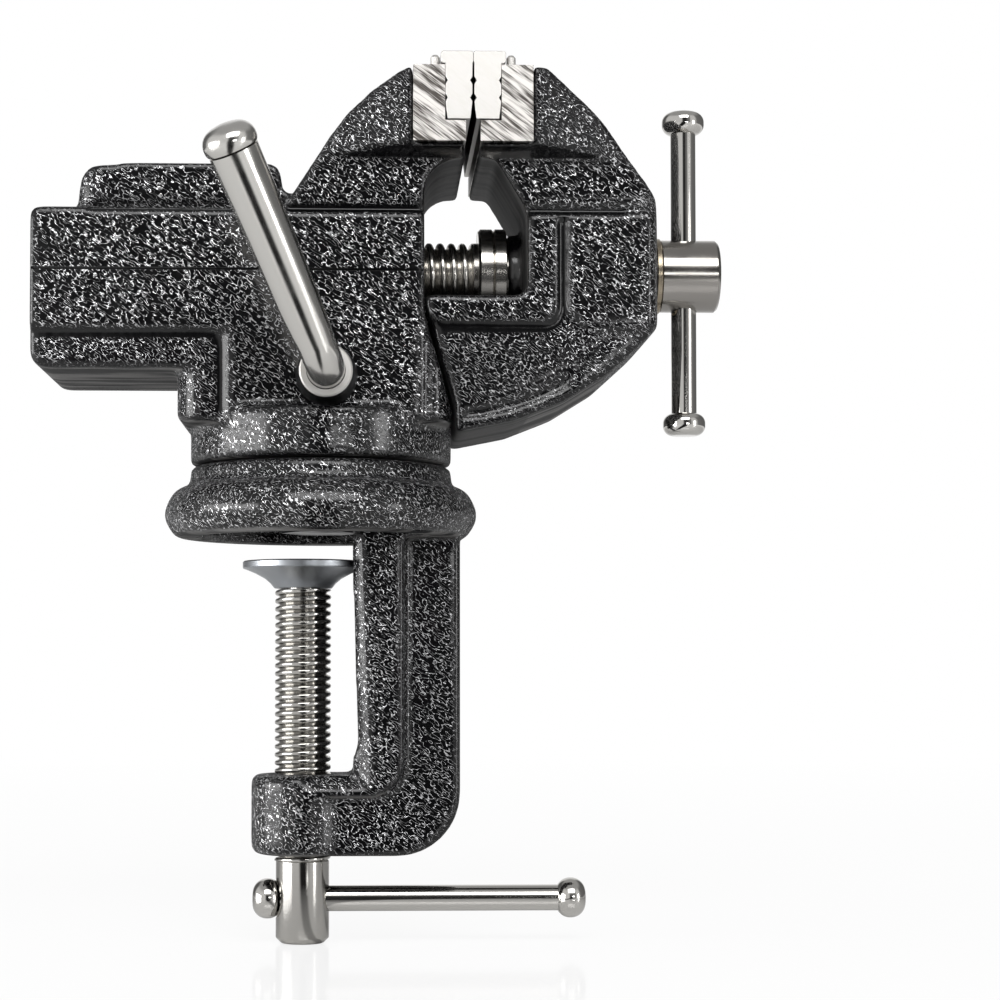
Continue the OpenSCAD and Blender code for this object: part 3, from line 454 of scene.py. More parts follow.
def cast_skin(node, name, ground_and_shaded=None):
    bm = merged_copy(node)
    rough = bpy.data.meshes.new(name)
    bm.to_mesh(rough)
    bm.free()
    piece = bpy.data.objects.new(name, rough)
    scene.collection.objects.link(piece)
    final, strong = voxel_skins(piece)
    crisp, rounded = vectors(final), vectors(strong)
    move = rounded - crisp
    outwards = (move * vectors(strong, "vertex_normals", "vector")).sum(axis=1) / MM
    share = np.clip(0.5 - outwards / BLEND_MM, 0, 1)
    share *= MOST_MM * MM / np.maximum(np.linalg.norm(move, axis=1), MOST_MM * MM)
    place = crisp + move * share[:, None]
    lost = max(v.co.z for v in rough.vertices) - place[:, Z].max()
    place[:, Z] += lost * np.clip((place[:, Z] - place[:, Z].max()) / (TIP_MM * MM) + 1, 0, 1)
    final.vertices.foreach_set("co", place.ravel())
    final.update()
    normals = vectors(final, "vertex_normals", "vector")
    wrinkled = widened(final, np.clip(FLAT_BIAS - np.abs(outwards) / SMOOTH_PAINT_MM, 0, 1))
    below = normals[:, Z] < UNDERSIDE
    ground = np.where(below & (place[:, Z] < UNDERSIDES_BELOW), 1.0, 0.0)
    # Painted shade: undersides lose their wrinkles and so their bright sparks
    wrinkled[below] = 0
    # Painted shade in the window: no wrinkles, and the grinder streaks only a third as strong
    if ground_and_shaded:
        inside = ground_and_shaded(place / MM, normals)
        wrinkled[inside], ground[inside] = 0, SHADED_GROUND_IN_WINDOW
    for label, values in (("flat", wrinkled), ("ground", ground)):
        held = final.attributes.new(label, "FLOAT", "POINT")
        held.data.foreach_set("value", values.astype(np.float32))
    piece.data = final
    final.name = name
    bpy.data.meshes.remove(rough)
    bpy.data.meshes.remove(strong)
    final.shade_smooth()
    return piece


# %% [markdown]
# The two halves of the mould met along a line on the sides of the body. It is a narrow groove,
# finer than the voxels, so it is cut into the skin afterwards: three planes slice the side
# faces, and the points on the middle one are pushed in.

# %% Parting line
LINE_Z, LINE_HALF, LINE_DEPTH = 63.15, 0.3, 1.3
BODY_SIDE_MM, FACES_SIDEWAYS = 25, 0.7


def score_line(piece):
    bm = bmesh.new()
    bm.from_mesh(piece.data)
    near, side = 3 * VOXEL_MM * MM, (BODY_SIDE_MM - 1) * MM
    for step in (-1, 1, 0):
        height = (LINE_Z + step * LINE_HALF) * MM
        faces = []
        for f in bm.faces:
            middle = f.calc_center_median()
            if (abs(middle.z - height) < near and abs(f.normal.y) > FACES_SIDEWAYS
                    and abs(middle.y) > side):
                faces.append(f)
        edges = {e for f in faces for e in f.edges}
        points = {v for f in faces for v in f.verts}
        cut = bmesh.ops.bisect_plane(bm, geom=list(points) + list(edges) + faces, dist=1e-6,
                                     plane_co=(0, 0, height), plane_no=(0, 0, 1))["geom_cut"]
    low = [v for v in cut if isinstance(v, bmesh.types.BMVert)]
    flat = bm.verts.layers.float["flat"]
    for v in low:
        v.co.y -= math.copysign(LINE_DEPTH * MM, v.co.y)
        for beside in [v] + [e.other_vert(v) for e in v.link_edges]:
            beside[flat] = 0
    bm.to_mesh(piece.data)
    bm.free()
    piece.data.shade_smooth()
    print("parting line points:", len(low))


# %% [markdown]
# Panels with smooth borders decorate the sides. Each border is a shallow channel along a path:
# the points near the path sink in, and the paint in the channel has no wrinkles and so no
# bright sparks, which is painted shade along the step. More painted shade lowers the wrinkles
# and their sparks beside the lever, on the keel and on the web of the arm.

# %% Channels beside the panels and painted shade
NEAR_SIDES_MM, TURNED_SIDEWAYS = 17, 0.5
FADE, PAINT_STEP_MM = 1.4, 0.5


def read_flat(mesh):
    flat = np.empty(len(mesh.vertices), dtype=np.float32)
    mesh.attributes["flat"].data.foreach_get("value", flat)
    return flat


def press(piece, path, half_mm, depth_mm):
    """Sinks a band into both sides along (x, z) points in mm, with painted shade in it: no
    wrinkles.
    """
    mesh = piece.data
    place, normal = vectors(mesh), vectors(mesh, "vertex_normals", "vector")
    spot = place[:, [X, Z]] / MM
    away = np.full(len(spot), np.inf)
    for a, b in zip(np.array(path), np.array(path[1:])):
        share = np.clip((spot - a) @ (b - a) / ((b - a) @ (b - a)), 0, 1)
        away = np.minimum(away, np.linalg.norm(spot - a - share[:, None] * (b - a), axis=1))
    sideways = ((np.abs(normal[:, Y]) > TURNED_SIDEWAYS)
                & (np.abs(place[:, Y]) > NEAR_SIDES_MM * MM))
    sink = np.clip(FADE - away / half_mm, 0, 1) * sideways
    place[:, Y] -= np.sign(place[:, Y]) * sink * depth_mm * MM
    mesh.vertices.foreach_set("co", place.ravel())
    flat = read_flat(mesh)
    # Painted shade along the channel: its paint loses the wrinkles and their bright sparks
    flat[sideways] *= np.clip((away[sideways] - half_mm) / PAINT_STEP_MM, 0, 1)
    mesh.attributes["flat"].data.foreach_set("value", flat)
    mesh.update()


def painted_shade_patch(piece, x, z, across_mm, down_mm, share):
    """Painted shade: lowers the wrinkles and their bright sparks to a share in the middle of an
    ellipse on the sides.
    """
    place = vectors(piece.data) / MM
    away = np.hypot((place[:, X] - x) / across_mm, (place[:, Z] - z) / down_mm)
    left = 1 - np.clip(FADE - away, 0, 1) * (1 - share)
    flat = read_flat(piece.data) * left.astype(np.float32)
    piece.data.attributes["flat"].data.foreach_set("value", flat)


# %% [markdown]
# Undersides get painted shade: their paint has no wrinkles and so no bright sparks, and low down
# grinder streaks show on them. The faces that look into the window get painted shade too: no
# wrinkles, and only weak grinder streaks. Each casting gets its skin, its patches of painted
# shade and its channels, and is then handed over.

# %% Castings
WINDOW_LEFT, WINDOW_RIGHT, WINDOW_LOW, BOSS_REACH = 24, 50.5, 45, 15
WINDOW_WALL = 0.6
WIDE_DEPTH, STEP_DEPTH = 0.15, 0.5
# Corners of each channel as (x, z)
UNDER_SLIDE = [(-70, 47.8), (-27, 47.8), (-24.8, 46.8), (-23.7, 44.5), (-23.7, 30)]
UNDER_ANVIL = [(-55, 78), (25, 78)]
UNDER_BROW = [(44, 77.5), (73, 77.5)]
BESIDE_WINDOW = [(58.4, 77), (58.4, 54), (57, 51), (54.5, 49.6), (25, 49.6)]


# Faces that look into the window, which get painted shade and faint grinder streaks
def body_ground_and_shaded(place, normal):
    in_window = (place[:, X] > WINDOW_LEFT) & (place[:, Z] > WINDOW_LOW)
    return in_window & (np.abs(normal[:, Y]) < WINDOW_WALL)


# The jaw's faces that look into the window, which get painted shade and faint grinder streaks
def jaw_ground_and_shaded(place, normal):
    faces_window = (np.abs(normal[:, Y]) < WINDOW_WALL) | (np.abs(place[:, Y]) < BOSS_REACH)
    return (place[:, X] < WINDOW_RIGHT) & faces_window


body_casting = cast_skin("vise_body", "body_casting", body_ground_and_shaded)
press(body_casting, UNDER_SLIDE, 1.1, WIDE_DEPTH)
press(body_casting, UNDER_ANVIL, 0.9, STEP_DEPTH)
# Painted shade beside the lever
painted_shade_patch(body_casting, x=-12, z=46, across_mm=13, down_mm=16, share=0.45)
score_line(body_casting)
hand_over(body_casting, enamel, "swivel_body", "black_enamel", "vise_body")

clamp_casting = cast_skin("clamp_frame", "clamp_casting")
# Painted shade on the web of the arm
painted_shade_patch(clamp_casting, x=30, z=-30, across_mm=11, down_mm=60, share=0.55)
hand_over(clamp_casting, enamel, "base", "black_enamel", "clamp_frame")

jaw_casting = cast_skin("movable_jaw", "jaw_casting", jaw_ground_and_shaded)
# Painted shade on the keel
painted_shade_patch(jaw_casting, x=36, z=38, across_mm=20, down_mm=12, share=0.5)
press(jaw_casting, UNDER_BROW, 0.85, STEP_DEPTH)
press(jaw_casting, BESIDE_WINDOW, 1.3, WIDE_DEPTH)
hand_over(jaw_casting, enamel, "sliding_jaw", "black_enamel", "movable_jaw")

# %% [markdown]
# The jaw plates and inserts are cut from bar, so their edges are only broken with a file. A
# merged copy of the solid keeps the serrations, its flat faces are joined again, and a live
# bevel of one or two tenths takes the edges off. The faces in the gap are marked for painted
# shade.

# %% Jaw plates and inserts
GAP_REACH_MM, TOWARD_GAP = 2.2, 0.2
PLATE_EDGE_MM, INSERT_EDGE_MM, FILED_DEGREES = 0.22, 0.12, 25
ONE_PLANE_DEGREES = 0.5


def reach_x(node, take):
    return take(v.co.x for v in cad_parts[node].data.vertices)


gap_x = (reach_x("fixed_jaw_insert", max) + reach_x("movable_jaw_insert", min)) / 2


def filed_copy(node, name, edge_mm):
    bm = merged_copy(node)
    bmesh.ops.dissolve_limit(bm, angle_limit=math.radians(ONE_PLANE_DEGREES), verts=bm.verts,
                             edges=bm.edges)
    # Painted shade: faces in the gap between the jaws are marked to be darkened
    gap_shade = bm.faces.layers.float.new("gap_shade")
    for f in bm.faces:
        in_gap = abs(f.calc_center_median().x - gap_x) < GAP_REACH_MM * MM
        f[gap_shade] = 1 if in_gap and abs(f.normal.x) > TOWARD_GAP else 0
    piece = to_object(bm, name)
    broken = piece.modifiers.new("filed", "BEVEL")
    broken.width, broken.segments, broken.limit_method = edge_mm * MM, 2, "ANGLE"
    broken.angle_limit = math.radians(FILED_DEGREES)
    shade(piece)
    return piece


for side, body in (("fixed", "swivel_body"), ("movable", "sliding_jaw")):
    hand_over(filed_copy(f"{side}_jaw_plate", f"{side}_plate", PLATE_EDGE_MM), milled_steel, body,
              "milled_steel", f"{side}_jaw_plate")
    hand_over(filed_copy(f"{side}_jaw_insert", f"{side}_insert", INSERT_EDGE_MM), ground_steel,
              body, "bright_insert", f"{side}_jaw_insert")

# %% [markdown]
# A real thread is one ridge wound round a core. The profile of a single pitch is spun with a
# step along the axis, so each turn ends where the next begins. Both ends are cut square and
# closed.

# %% Helical threads
# Share of the pitch and share of the depth, from one root to the next
HALF_FORM = [(0, 0), (0.06, 0.06), (0.11, 0.25), (0.16, 0.52), (0.22, 0.75), (0.31, 0.92),
             (0.41, 0.99)]
THREAD_FORM = HALF_FORM + [(0.5, 1)] + [(1 - share, depth) for share, depth in HALF_FORM[::-1]]
THREAD_STEPS, THREAD_CRISP_DEGREES = 40, 50


def thread(core, crest, pitch, start, end):
    """A right-hand thread along Z, in mm."""
    bm = bmesh.new()
    profile = [(start - pitch + share * pitch, core + (crest - core) * depth)
               for share, depth in THREAD_FORM]
    turns = math.ceil((end - start) / pitch) + 2
    spun(bm, profile, THREAD_STEPS * turns, dvec=(0, 0, pitch * MM / THREAD_STEPS),
         angle=2 * math.pi * turns)
    for height, up in ((start, -1), (end, 1)):
        bmesh.ops.bisect_plane(bm, geom=bm.verts[:] + bm.edges[:] + bm.faces[:], dist=1e-7,
                               plane_co=(0, 0, height * MM), plane_no=(0, 0, up),
                               clear_outer=True)
    bmesh.ops.holes_fill(bm, edges=[e for e in bm.edges if e.is_boundary])
    return bm


def drilled(piece, drill):
    """Cuts the closed shape drill out of piece."""
    tool = to_object(drill, "drill")
    cut = piece.modifiers.new("cut", "BOOLEAN")
    cut.operation, cut.solver, cut.object = "DIFFERENCE", "EXACT", tool
    final = evaluated_mesh(piece)
    piece.modifiers.clear()
    old, piece.data = piece.data, final
    final.name = piece.name
    bpy.data.meshes.remove(old)
    bpy.data.objects.remove(tool)


def rod(radius, start, end):
    return turned([(start, 0), (start, radius), (end, radius), (end, 0)])


# %% [markdown]
# The spindle: a coarse thread that runs back into the body, a smooth neck through the movable
# jaw, and a round head with a cross hole for the bar.

# %% Spindle with its head
SPINDLE_Z = 66.1
SPINDLE_R, SPINDLE_CORE, SPINDLE_PITCH = 8, 6.5, 2.75
SPINDLE_START, THREAD_END = -64, 37.9
HEAD_START, HEAD_END, HEAD_R = 84.6, 99.2, 9
BAR_X, BAR_HOLE_R = 90.87, 3.25
DRILL_PAST = 2
ON_SPINDLE = at(0, 0, SPINDLE_Z) @ ALONG_X

neck_and_head = turned([
    (THREAD_END, 0), (THREAD_END, SPINDLE_R), (HEAD_START, SPINDLE_R), (HEAD_START, HEAD_R - 0.3),
    (HEAD_START + 0.3, HEAD_R), (HEAD_END - 0.8, HEAD_R), (HEAD_END - 0.15, HEAD_R - 0.55),
    (HEAD_END, HEAD_R - 0.9), (HEAD_END, 0)])
head = to_object(placed(neck_and_head, ON_SPINDLE), "spindle_head")
cross_hole = rod(BAR_HOLE_R, -HEAD_R - DRILL_PAST, HEAD_R + DRILL_PAST)
drilled(head, placed(cross_hole, at(BAR_X, 0, SPINDLE_Z)))
shade(head)
hand_over(head, turned_x_steel, "spindle", "turned_steel")

main_thread = thread(SPINDLE_CORE, SPINDLE_R, SPINDLE_PITCH, SPINDLE_START, THREAD_END)
screw = to_object(placed(main_thread, ON_SPINDLE), "spindle_thread")
shade(screw, THREAD_CRISP_DEGREES)
hand_over(screw, bright_x_steel, "spindle", "turned_steel", "spindle")

# %% [markdown]
# Three rings sit on the spindle: the bronze washer under its head, and in the window a steel
# washer and the collar that pulls the jaw back when the spindle is unscrewed.

# %% Rings on the spindle
def ring(outer, inner, start, end, edge):
    return turned([(start, inner), (start, outer - edge), (start + edge, outer),
                   (end - edge, outer), (end, outer - edge), (end, inner), (start, inner)])


# Name, outer and inner radius, start, end, broken edge, finish, slot and solid
rings = (
    ("head_washer", 9.4, 8.1, 83.3, 84.6, 0.15, bronze, "bronze", "thrust_washer"),
    ("stop_collar", 11.5, 8.05, 38.9, 42.9, 0.6, bright_x_steel, "turned_steel",
     "retaining_collar"),
    ("stop_washer", 11.5, 8.1, 42.9, 45.9, 0.25, bright_x_steel, "turned_steel", "collar_washer"),
)
for name, outer, inner, start, end, edge, finish, slot, node in rings:
    piece = to_object(placed(ring(outer, inner, start, end, edge), ON_SPINDLE), name)
    shade(piece)
    hand_over(piece, finish, "spindle", slot, node)

# %% [markdown]
# Handle bars. Each is a ground rod with a knob pressed on either end. The knobs are turned
# from bar and tumbled, so they are flat on the face and round everywhere else.

# %% Bars and knobs
INTO_KNOB = 0.6


def knob(radius, length, roundness, steps=10):
    """A knob from Z = 0 up, whose rims are quarter circles."""
    r = length * roundness
    quarter = [math.pi / 2 * i / steps for i in range(steps + 1)]
    low = [(r - r * math.cos(a), radius - r + r * math.sin(a)) for a in quarter]
    high = [(length - h, rr) for h, rr in reversed(low)]
    return turned([(0, 0)] + low + high + [(length, 0)])


def handle(names, nodes, body, place, bar_r, length, knob_size):
    half, knob_l = length / 2, knob_size[1]
    bar_half = half - knob_l + INTO_KNOB
    knobs = joined(placed(knob(*knob_size), at(0, 0, half - knob_l)),
                   placed(knob(*knob_size), at(0, 0, -half)))
    for name, node, bm in zip(names, nodes, (rod(bar_r, -bar_half, bar_half), knobs)):
        piece = to_object(placed(bm, place), name)
        shade(piece)
        hand_over(piece, polished_steel, body, "polished_steel", node)


MAIN_BAR_R, MAIN_BAR_L, MAIN_BAR_RAISED = 3.15, 81.7, 0.7
MAIN_KNOB = (5.3, 5.6, 0.44)  # radius, length and roundness
handle(("main_bar", "main_bar_knobs"), ("spindle_bar", "spindle_bar_knobs"), "spindle_handle",
       at(BAR_X, 0, SPINDLE_Z + MAIN_BAR_RAISED), MAIN_BAR_R, MAIN_BAR_L, MAIN_KNOB)

TABLE_BAR_R, TABLE_BAR_L, TABLE_BAR_LEFT, TABLE_BAR_Z = 3.2, 82.4, -16.7, -89.035
TABLE_KNOB = (4.95, 7.4, 0.48)
handle(("table_bar", "table_bar_knobs"), ("clamp_bar", "clamp_bar_knobs"), "clamp_handle",
       at(TABLE_BAR_LEFT + TABLE_BAR_L / 2, 0, TABLE_BAR_Z) @ ALONG_X, TABLE_BAR_R, TABLE_BAR_L,
       TABLE_KNOB)

# %% [markdown]
# The clamp screw is the same kind of part standing up. Its head has a cross hole whose left
# mouth is widened, so that the knob of the bar can sink into it.

# %% Clamp screw
CLAMP_X = -4.4
CLAMP_R, CLAMP_CORE, CLAMP_PITCH = 7, 5.9, 2
CLAMP_HEAD_R, CLAMP_HEAD_TOP, CLAMP_BOTTOM = 6.6, -79.4, -99.9
CLAMP_THREAD_TOP, THREAD_INTO_HEAD = -12.7, 0.2
CLAMP_HOLE_R, MOUTH_R, MOUTH_D = 3.3, 4.9, 2.6
ON_CLAMP = at(CLAMP_X, 0, 0)

clamp_head = to_object(placed(turned([
    (CLAMP_BOTTOM, 0), (CLAMP_BOTTOM, 5.0), (CLAMP_BOTTOM + 0.15, 5.35), (CLAMP_BOTTOM + 1.2, 6.45),
    (CLAMP_BOTTOM + 1.5, CLAMP_HEAD_R), (CLAMP_HEAD_TOP - 0.4, CLAMP_HEAD_R),
    (CLAMP_HEAD_TOP, CLAMP_HEAD_R - 0.4), (CLAMP_HEAD_TOP, 0)]), ON_CLAMP), "clamp_screw_head")
across = at(CLAMP_X, 0, TABLE_BAR_Z) @ ALONG_X
hole = rod(CLAMP_HOLE_R, -CLAMP_HEAD_R - DRILL_PAST, CLAMP_HEAD_R + DRILL_PAST)
mouth = turned([(-CLAMP_HEAD_R - 1, 0), (-CLAMP_HEAD_R - 1, MOUTH_R + 0.6),
                (-CLAMP_HEAD_R + MOUTH_D, CLAMP_HOLE_R), (-CLAMP_HEAD_R + MOUTH_D, 0)])
for drill in (hole, mouth):
    drilled(clamp_head, placed(drill, across))
shade(clamp_head)
hand_over(clamp_head, turned_z_steel, "clamp_screw", "turned_steel")

long_thread = thread(CLAMP_CORE, CLAMP_R, CLAMP_PITCH, CLAMP_HEAD_TOP - THREAD_INTO_HEAD,
                     CLAMP_THREAD_TOP)
ball_end = turned([(CLAMP_THREAD_TOP, 0), (CLAMP_THREAD_TOP, 4.2), (-11.1, 4.2), (-11.1, 5.9),
                   (-9.3, 5.9), (-8.2, 4.4), (-8.2, 0)])
table_screw = to_object(placed(joined(long_thread, ball_end), ON_CLAMP), "clamp_screw_thread")
shade(table_screw, THREAD_CRISP_DEGREES)
hand_over(table_screw, turned_z_steel, "clamp_screw", "turned_steel", "clamp_screw")

# %% [markdown]
# The pad is a flared dish with a thin rim. Its underside hollows slightly, which the eye reads
# from the bright band just under the rim.

# %% Pad
PAD_LOW, PAD_TOP, PAD_R, SOCKET_TOP, SOCKET_R = -12.4, -5.7, 15, -7.9, 6.2
# Height over the lower end and radius
PAD_FLARE = [(0, 7.1), (0.3, 7.4), (1.2, 8.1), (2.4, 9.5), (3.7, 11.9), (4.7, 14.3), (4.85, 14.85),
             (5.1, PAD_R)]
pad_profile = [(SOCKET_TOP, 0), (SOCKET_TOP, SOCKET_R), (PAD_LOW, SOCKET_R)]
pad_profile += [(PAD_LOW + height, radius) for height, radius in PAD_FLARE]
pad_profile += [(PAD_TOP - 0.3, PAD_R), (PAD_TOP, PAD_R - 0.3), (PAD_TOP, 0)]
pad = to_object(placed(turned(pad_profile), ON_CLAMP), "table_pad")
shade(pad)
hand_over(pad, satin_steel, "pad", "turned_steel", "clamp_pad")

# %% [markdown]
# The lock lever: a rod that leaves a black hub through a bright ring, bends upwards, leans to
# the rear and grows thicker towards its cap. A circle is extruded along the straight run, spun
# through the bend and extruded again, wider, to the end.

# %% Lock lever
LOCK_X, LOCK_Z = 1.7, 37.6
HUB_FACE, INSIDE_HUB, BEND_Y = -34.3, 4.7, -38.9
LEVER_R, LEVER_END_R, BEND_R, LEVER_L = 4.5, 5.8, 8, 48
LEAN, RISE = math.radians(24), math.radians(22)
BEND = math.pi / 2 - RISE
STATIONS = (0.08, 0.2, 0.4, 0.65, 0.85, 1.0)
LEVER_BASE = at(LOCK_X, BEND_Y, LOCK_Z) @ Matrix.Rotation(-LEAN, 4, "Y")
BEND_END = Vector((0, -BEND_R * math.sin(BEND), BEND_R * (1 - math.cos(BEND)))) * MM
LEVER_ALONG = Vector((0, -math.cos(BEND), math.sin(BEND)))


def extrude_ring(bm, edges, move, scale=1.0, centre=(0, 0, 0)):
    grown = bmesh.ops.extrude_edge_only(bm, edges=edges)["geom"]
    points = [v for v in grown if isinstance(v, bmesh.types.BMVert)]
    bmesh.ops.translate(bm, vec=move, verts=points)
    if scale != 1.0:
        about = Matrix.Translation(-Vector(centre) - Vector(move))
        bmesh.ops.scale(bm, vec=(scale, scale, scale), space=about, verts=points)
    return [e for e in grown if isinstance(e, bmesh.types.BMEdge)]


def bent_rod():
    """The lever from inside the hub to its cap. The bend starts at the origin."""
    bm = bmesh.new()
    bmesh.ops.create_circle(bm, cap_ends=False, segments=64, radius=LEVER_R * MM,
                            matrix=Matrix.Rotation(math.pi / 2, 4, "X"))
    start_in = Vector((0, (HUB_FACE + INSIDE_HUB - BEND_Y) * MM, 0))
    bmesh.ops.translate(bm, vec=start_in, verts=bm.verts)
    edges = extrude_ring(bm, bm.edges[:], -start_in)
    ends = list({v for e in edges for v in e.verts})
    bent = bmesh.ops.spin(bm, geom=edges + ends, cent=(0, 0, BEND_R * MM), axis=(-1, 0, 0),
                          angle=BEND, steps=24)["geom_last"]
    edges = [e for e in bent if isinstance(e, bmesh.types.BMEdge)]
    gone, radius = 0.0, LEVER_R
    for share in STATIONS:
        wider = LEVER_R + (LEVER_END_R - LEVER_R) * math.sqrt(share)
        edges = extrude_ring(bm, edges, LEVER_ALONG * (share - gone) * LEVER_L * MM,
                             wider / radius, BEND_END + LEVER_ALONG * gone * LEVER_L * MM)
        gone, radius = share, wider
    bmesh.ops.holes_fill(bm, edges=[e for e in bm.edges if e.is_boundary])
    return bm


LEVER_TOP = (LEVER_BASE @ Matrix.Translation(BEND_END) @ Matrix.Rotation(RISE, 4, "X")
             @ at(0, 0, LEVER_L))
FROM_HUB = at(LOCK_X, HUB_FACE, LOCK_Z) @ Matrix.Rotation(-math.pi / 2, 4, "X")
cap = turned([
    (0.0, 0), (0.0, 5.0), (0.15, 5.5), (0.45, 5.95), (1.0, 6.2), (1.8, 6.32), (2.6, 6.3),
    (3.4, 6.1), (4.2, 5.7), (4.9, 5.1), (5.4, 4.4), (5.75, 3.6), (6.0, 2.6), (6.2, 1.4),
    (6.28, 0.6), (6.3, 0)])
hub = joined(turned([(0, 0), (0, 5.8), (0.5, 6.35), (9, 7.4), (9, 0)]), rod(4.8, 8.5, 14.25))

lever_parts = (
    ("lever_rod", bent_rod(), LEVER_BASE, chromed_lever, "brushed_chrome", "lock_lever"),
    ("lever_end_cap", cap, LEVER_TOP, chromed_lever, "brushed_chrome", "lever_cap"),
    ("lock_hub", hub, FROM_HUB, oxide_steel, "black_oxide_steel", "lever_hub"),
    ("lock_ring", ring(6.3, 4.65, -1.4, 0, 0.35), FROM_HUB, ground_steel, "polished_steel",
     "lever_collar"),
)
for name, bm, place, finish, slot, node in lever_parts:
    piece = to_object(placed(bm, place), name)
    shade(piece)
    hand_over(piece, finish, "lock", slot, node)

# %% [markdown]
# Small parts that hardly show keep their solids and only get a finish.

# %% Finishes of the solids that stay
kept_finish = {
    "fixed_plate_screws": oxide_steel, "movable_plate_screws": oxide_steel,
    "nut_grub_screw": oxide_steel, "pivot_bolt": oxide_steel, "collar_pin": oxide_steel,
    "pad_retainer": oxide_steel, "fixed_insert_pins": ground_steel,
    "movable_insert_pins": ground_steel, "pivot_washer": turned_z_steel,
    "spindle_nut": bronze, "lock_plug": bronze,
}
for node, finish in kept_finish.items():
    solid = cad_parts[node]
    solid.data.materials.clear()
    solid.data.materials.append(finish)
print("finished solids:", len(kept_finish))

# %% [markdown]
# The studio is a light tent. Its walls are bright on the left, in a panel on the right and behind
# the vise, and dark in a low slit round the camera, which is what gives the bars their dark
# stripes. The slit ends above the camera, where a canopy lights the tops. The camera itself sees
# plain white.

# %% World
# Brightness of the walls, where 1 is white
SLIT, GLOOM, SHADE, WALL, OVERHEAD = 0.03, 0.25, 0.15, 0.9, 0.5
# Degrees from the left wall past the camera at 90 and the right wall at 180 to the back at 270
WALL_STOPS = ((0, WALL), (76, WALL), (84, SLIT), (101, SLIT), (110, GLOOM), (120, GLOOM),
              (126, WALL), (152, WALL), (166, GLOOM), (238, SHADE), (252, 1), (288, 1),
              (300, SHADE), (330, SHADE), (346, WALL), (360, WALL))
CANOPY_STOPS = ((0, 0), (70, 0), (80, 1), (112, 1), (120, 0), (360, 0))
# Sines of the heights where the canopy and the ceiling begin and where they are full
CANOPY_FROM, CANOPY_FULL, CEILING_FROM, CEILING_FULL = 0.34, 0.42, 0.6, 0.8


def round_about(tree, toward, stops):
    """A level for each bearing, from (degrees, level) stops."""
    compass = add(tree, "ShaderNodeTexGradient", {"Vector": toward}, gradient_type="RADIAL")
    walls = add(tree, "ShaderNodeValToRGB", {"Fac": compass.outputs[0]})
    ramp = walls.color_ramp
    for degrees, _ in stops[2:]:
        ramp.elements.new(degrees / 360)
    for element, (degrees, level) in zip(ramp.elements, stops):
        element.position, element.color = degrees / 360, grey(level)
    return walls.outputs[0]


def light(tree, kind, colour):
    return add(tree, kind, {"Color": colour, "Strength": 1}).outputs[0]


world = bpy.data.worlds.new("studio")
world.use_nodes = True
scene.world = world
tree = world.node_tree
tree.nodes.clear()
toward = add(tree, "ShaderNodeTexCoord").outputs["Generated"]
walls = round_about(tree, toward, WALL_STOPS)
up = add(tree, "ShaderNodeSeparateXYZ", {0: toward}).outputs["Z"]
canopy = calculate(tree, "MULTIPLY", round_about(tree, toward, CANOPY_STOPS),
                   in_range(tree, up, CANOPY_FROM, CANOPY_FULL))
open_front = blend(tree, canopy, walls, grey(OVERHEAD))
lit = blend(tree, in_range(tree, up, CEILING_FROM, CEILING_FULL), open_front, grey(OVERHEAD))
seen = one_or_other(tree, add(tree, "ShaderNodeLightPath").outputs["Is Camera Ray"],
                    light(tree, "ShaderNodeBackground", lit),
                    light(tree, "ShaderNodeBackground", grey(1)))
add(tree, "ShaderNodeOutputWorld", {"Surface": seen})
print("world with", len(tree.nodes), "nodes")

# %% [markdown]
# The floor is pale glossy paper. The camera sees it four fifths white, so that the shadow and a
# faint mirror image still show. Far from the vise it turns white for reflections too. A black
# card lies between the vise and the camera, which only reflections see.

# %% Floor
FLOOR_Z, FLOOR_GAP, FLOOR_HALF = cad_box[0].z, 0.05 * MM, 6
NEAR, FAR = 0.2, 1.2
NEAR_SHARES = {"Is Camera Ray": 0.8, "Is Glossy Ray": 0.0, "Is Transmission Ray": 0.0}
CARD_STOPS = ((0, 0), (74, 0), (82, 1), (103, 1), (111, 0), (360, 0))
CARD_FROM, CARD_FULL, CARD_LEVEL = 0.08, 0.12, 0.02

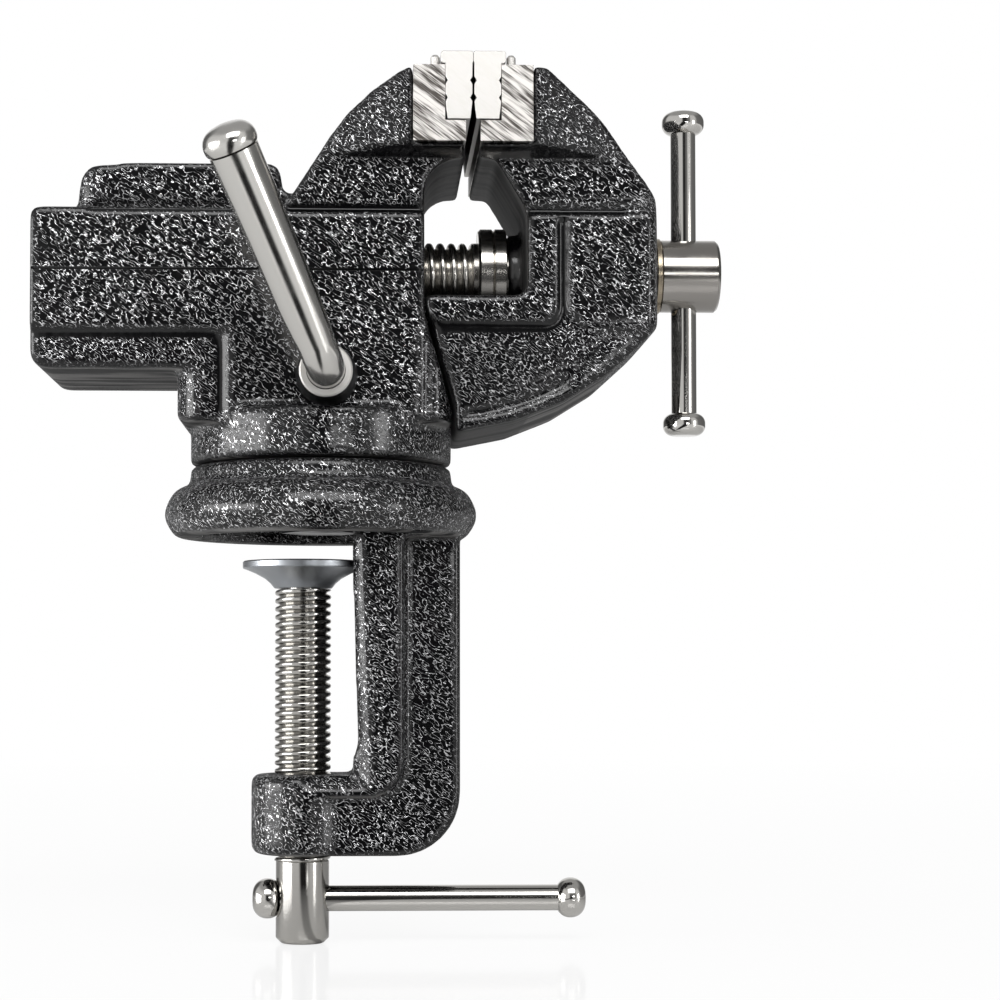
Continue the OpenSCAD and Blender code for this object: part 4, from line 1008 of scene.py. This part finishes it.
floor_bm = bmesh.new()
bmesh.ops.create_grid(floor_bm, x_segments=1, y_segments=1, size=FLOOR_HALF)
floor = to_object(placed(floor_bm, Matrix.Translation((0, 0, FLOOR_Z - FLOOR_GAP))), "studio_floor")
paper, tree, shader, place = new_finish("white_floor", "#e6e6e6", 0, 0.1)
far = add(tree, "ShaderNodeVectorMath", {0: place}, operation="LENGTH").outputs["Value"]
path = add(tree, "ShaderNodeLightPath").outputs
by_camera, by_gloss, by_glass = (
    calculate(tree, "MULTIPLY", path[ray], in_range(tree, far, NEAR, FAR, near_share, 1))
    for ray, near_share in NEAR_SHARES.items())
seen = calculate(tree, "ADD", calculate(tree, "ADD", by_camera, by_gloss), by_glass,
                 use_clamp=True)
top = one_or_other(tree, seen, shader.outputs[0], light(tree, "ShaderNodeEmission", grey(1)))
card = calculate(tree, "MULTIPLY", round_about(tree, place, CARD_STOPS),
                 in_range(tree, far, CARD_FROM, CARD_FULL))
mirrored = calculate(tree, "MULTIPLY", card, path["Is Glossy Ray"])
top = one_or_other(tree, mirrored, top, light(tree, "ShaderNodeEmission", grey(CARD_LEVEL)))
tree.links.new(top, tree.nodes["Material Output"].inputs["Surface"])
floor.data.materials.append(paper)
floor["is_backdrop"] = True
print("floor at", round(FLOOR_Z / MM, 2), "mm")

# %% [markdown]
# Soft boxes: a wide one over the camera, whose sparks cover the enamel, a large one on the left
# and a narrow one on the right, which leave pale patches on every round edge, and a low strip
# beside the camera for the turned ring of the base. A soft box is placed by its bearing from the
# camera's side, its height in degrees and its distance. Its power follows from the brightness
# that its face has, where 1 is white.

# %% Soft boxes
LIT_POINT = Vector((5, 0, 20)) * MM


def soft_box(name, bearing, height, distance, across, tall, brightness):
    bearing, height = math.radians(bearing), math.radians(height)
    toward = Vector((math.sin(bearing) * math.cos(height), -math.cos(bearing) * math.cos(height),
                     math.sin(height)))
    lamp = bpy.data.lights.new(name, "AREA")
    lamp.shape, lamp.size, lamp.size_y = "RECTANGLE", across, tall
    lamp.energy = brightness * math.pi * across * tall
    box = bpy.data.objects.new(name, lamp)
    box.location = LIT_POINT + toward * distance
    box.rotation_euler = (-toward).to_track_quat("-Z", "Y").to_euler()
    scene.collection.objects.link(box)
    print(name, "gives", round(brightness * across * tall / distance ** 2, 2), "of light")


soft_box("front_box", bearing=4, height=40, distance=1.2, across=0.9, tall=0.5, brightness=7)
soft_box("left_box", bearing=-69, height=3, distance=1.1, across=0.9, tall=0.4, brightness=8)
soft_box("right_box", bearing=55, height=4, distance=1.2, across=0.22, tall=0.4, brightness=8)
soft_box("low_strip", bearing=17, height=3.5, distance=1.0, across=0.26, tall=0.08, brightness=9)

scene.view_settings.view_transform = "Standard"

# %% [markdown]
# Last, the box of what shows is written beside that of the solids, to compare.

# %% Sizes and finish
shown_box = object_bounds()
for word, corners in (("solids", cad_box), ("shown", shown_box)):
    print(word, [[round(v / MM, 2) for v in corner] for corner in corners])
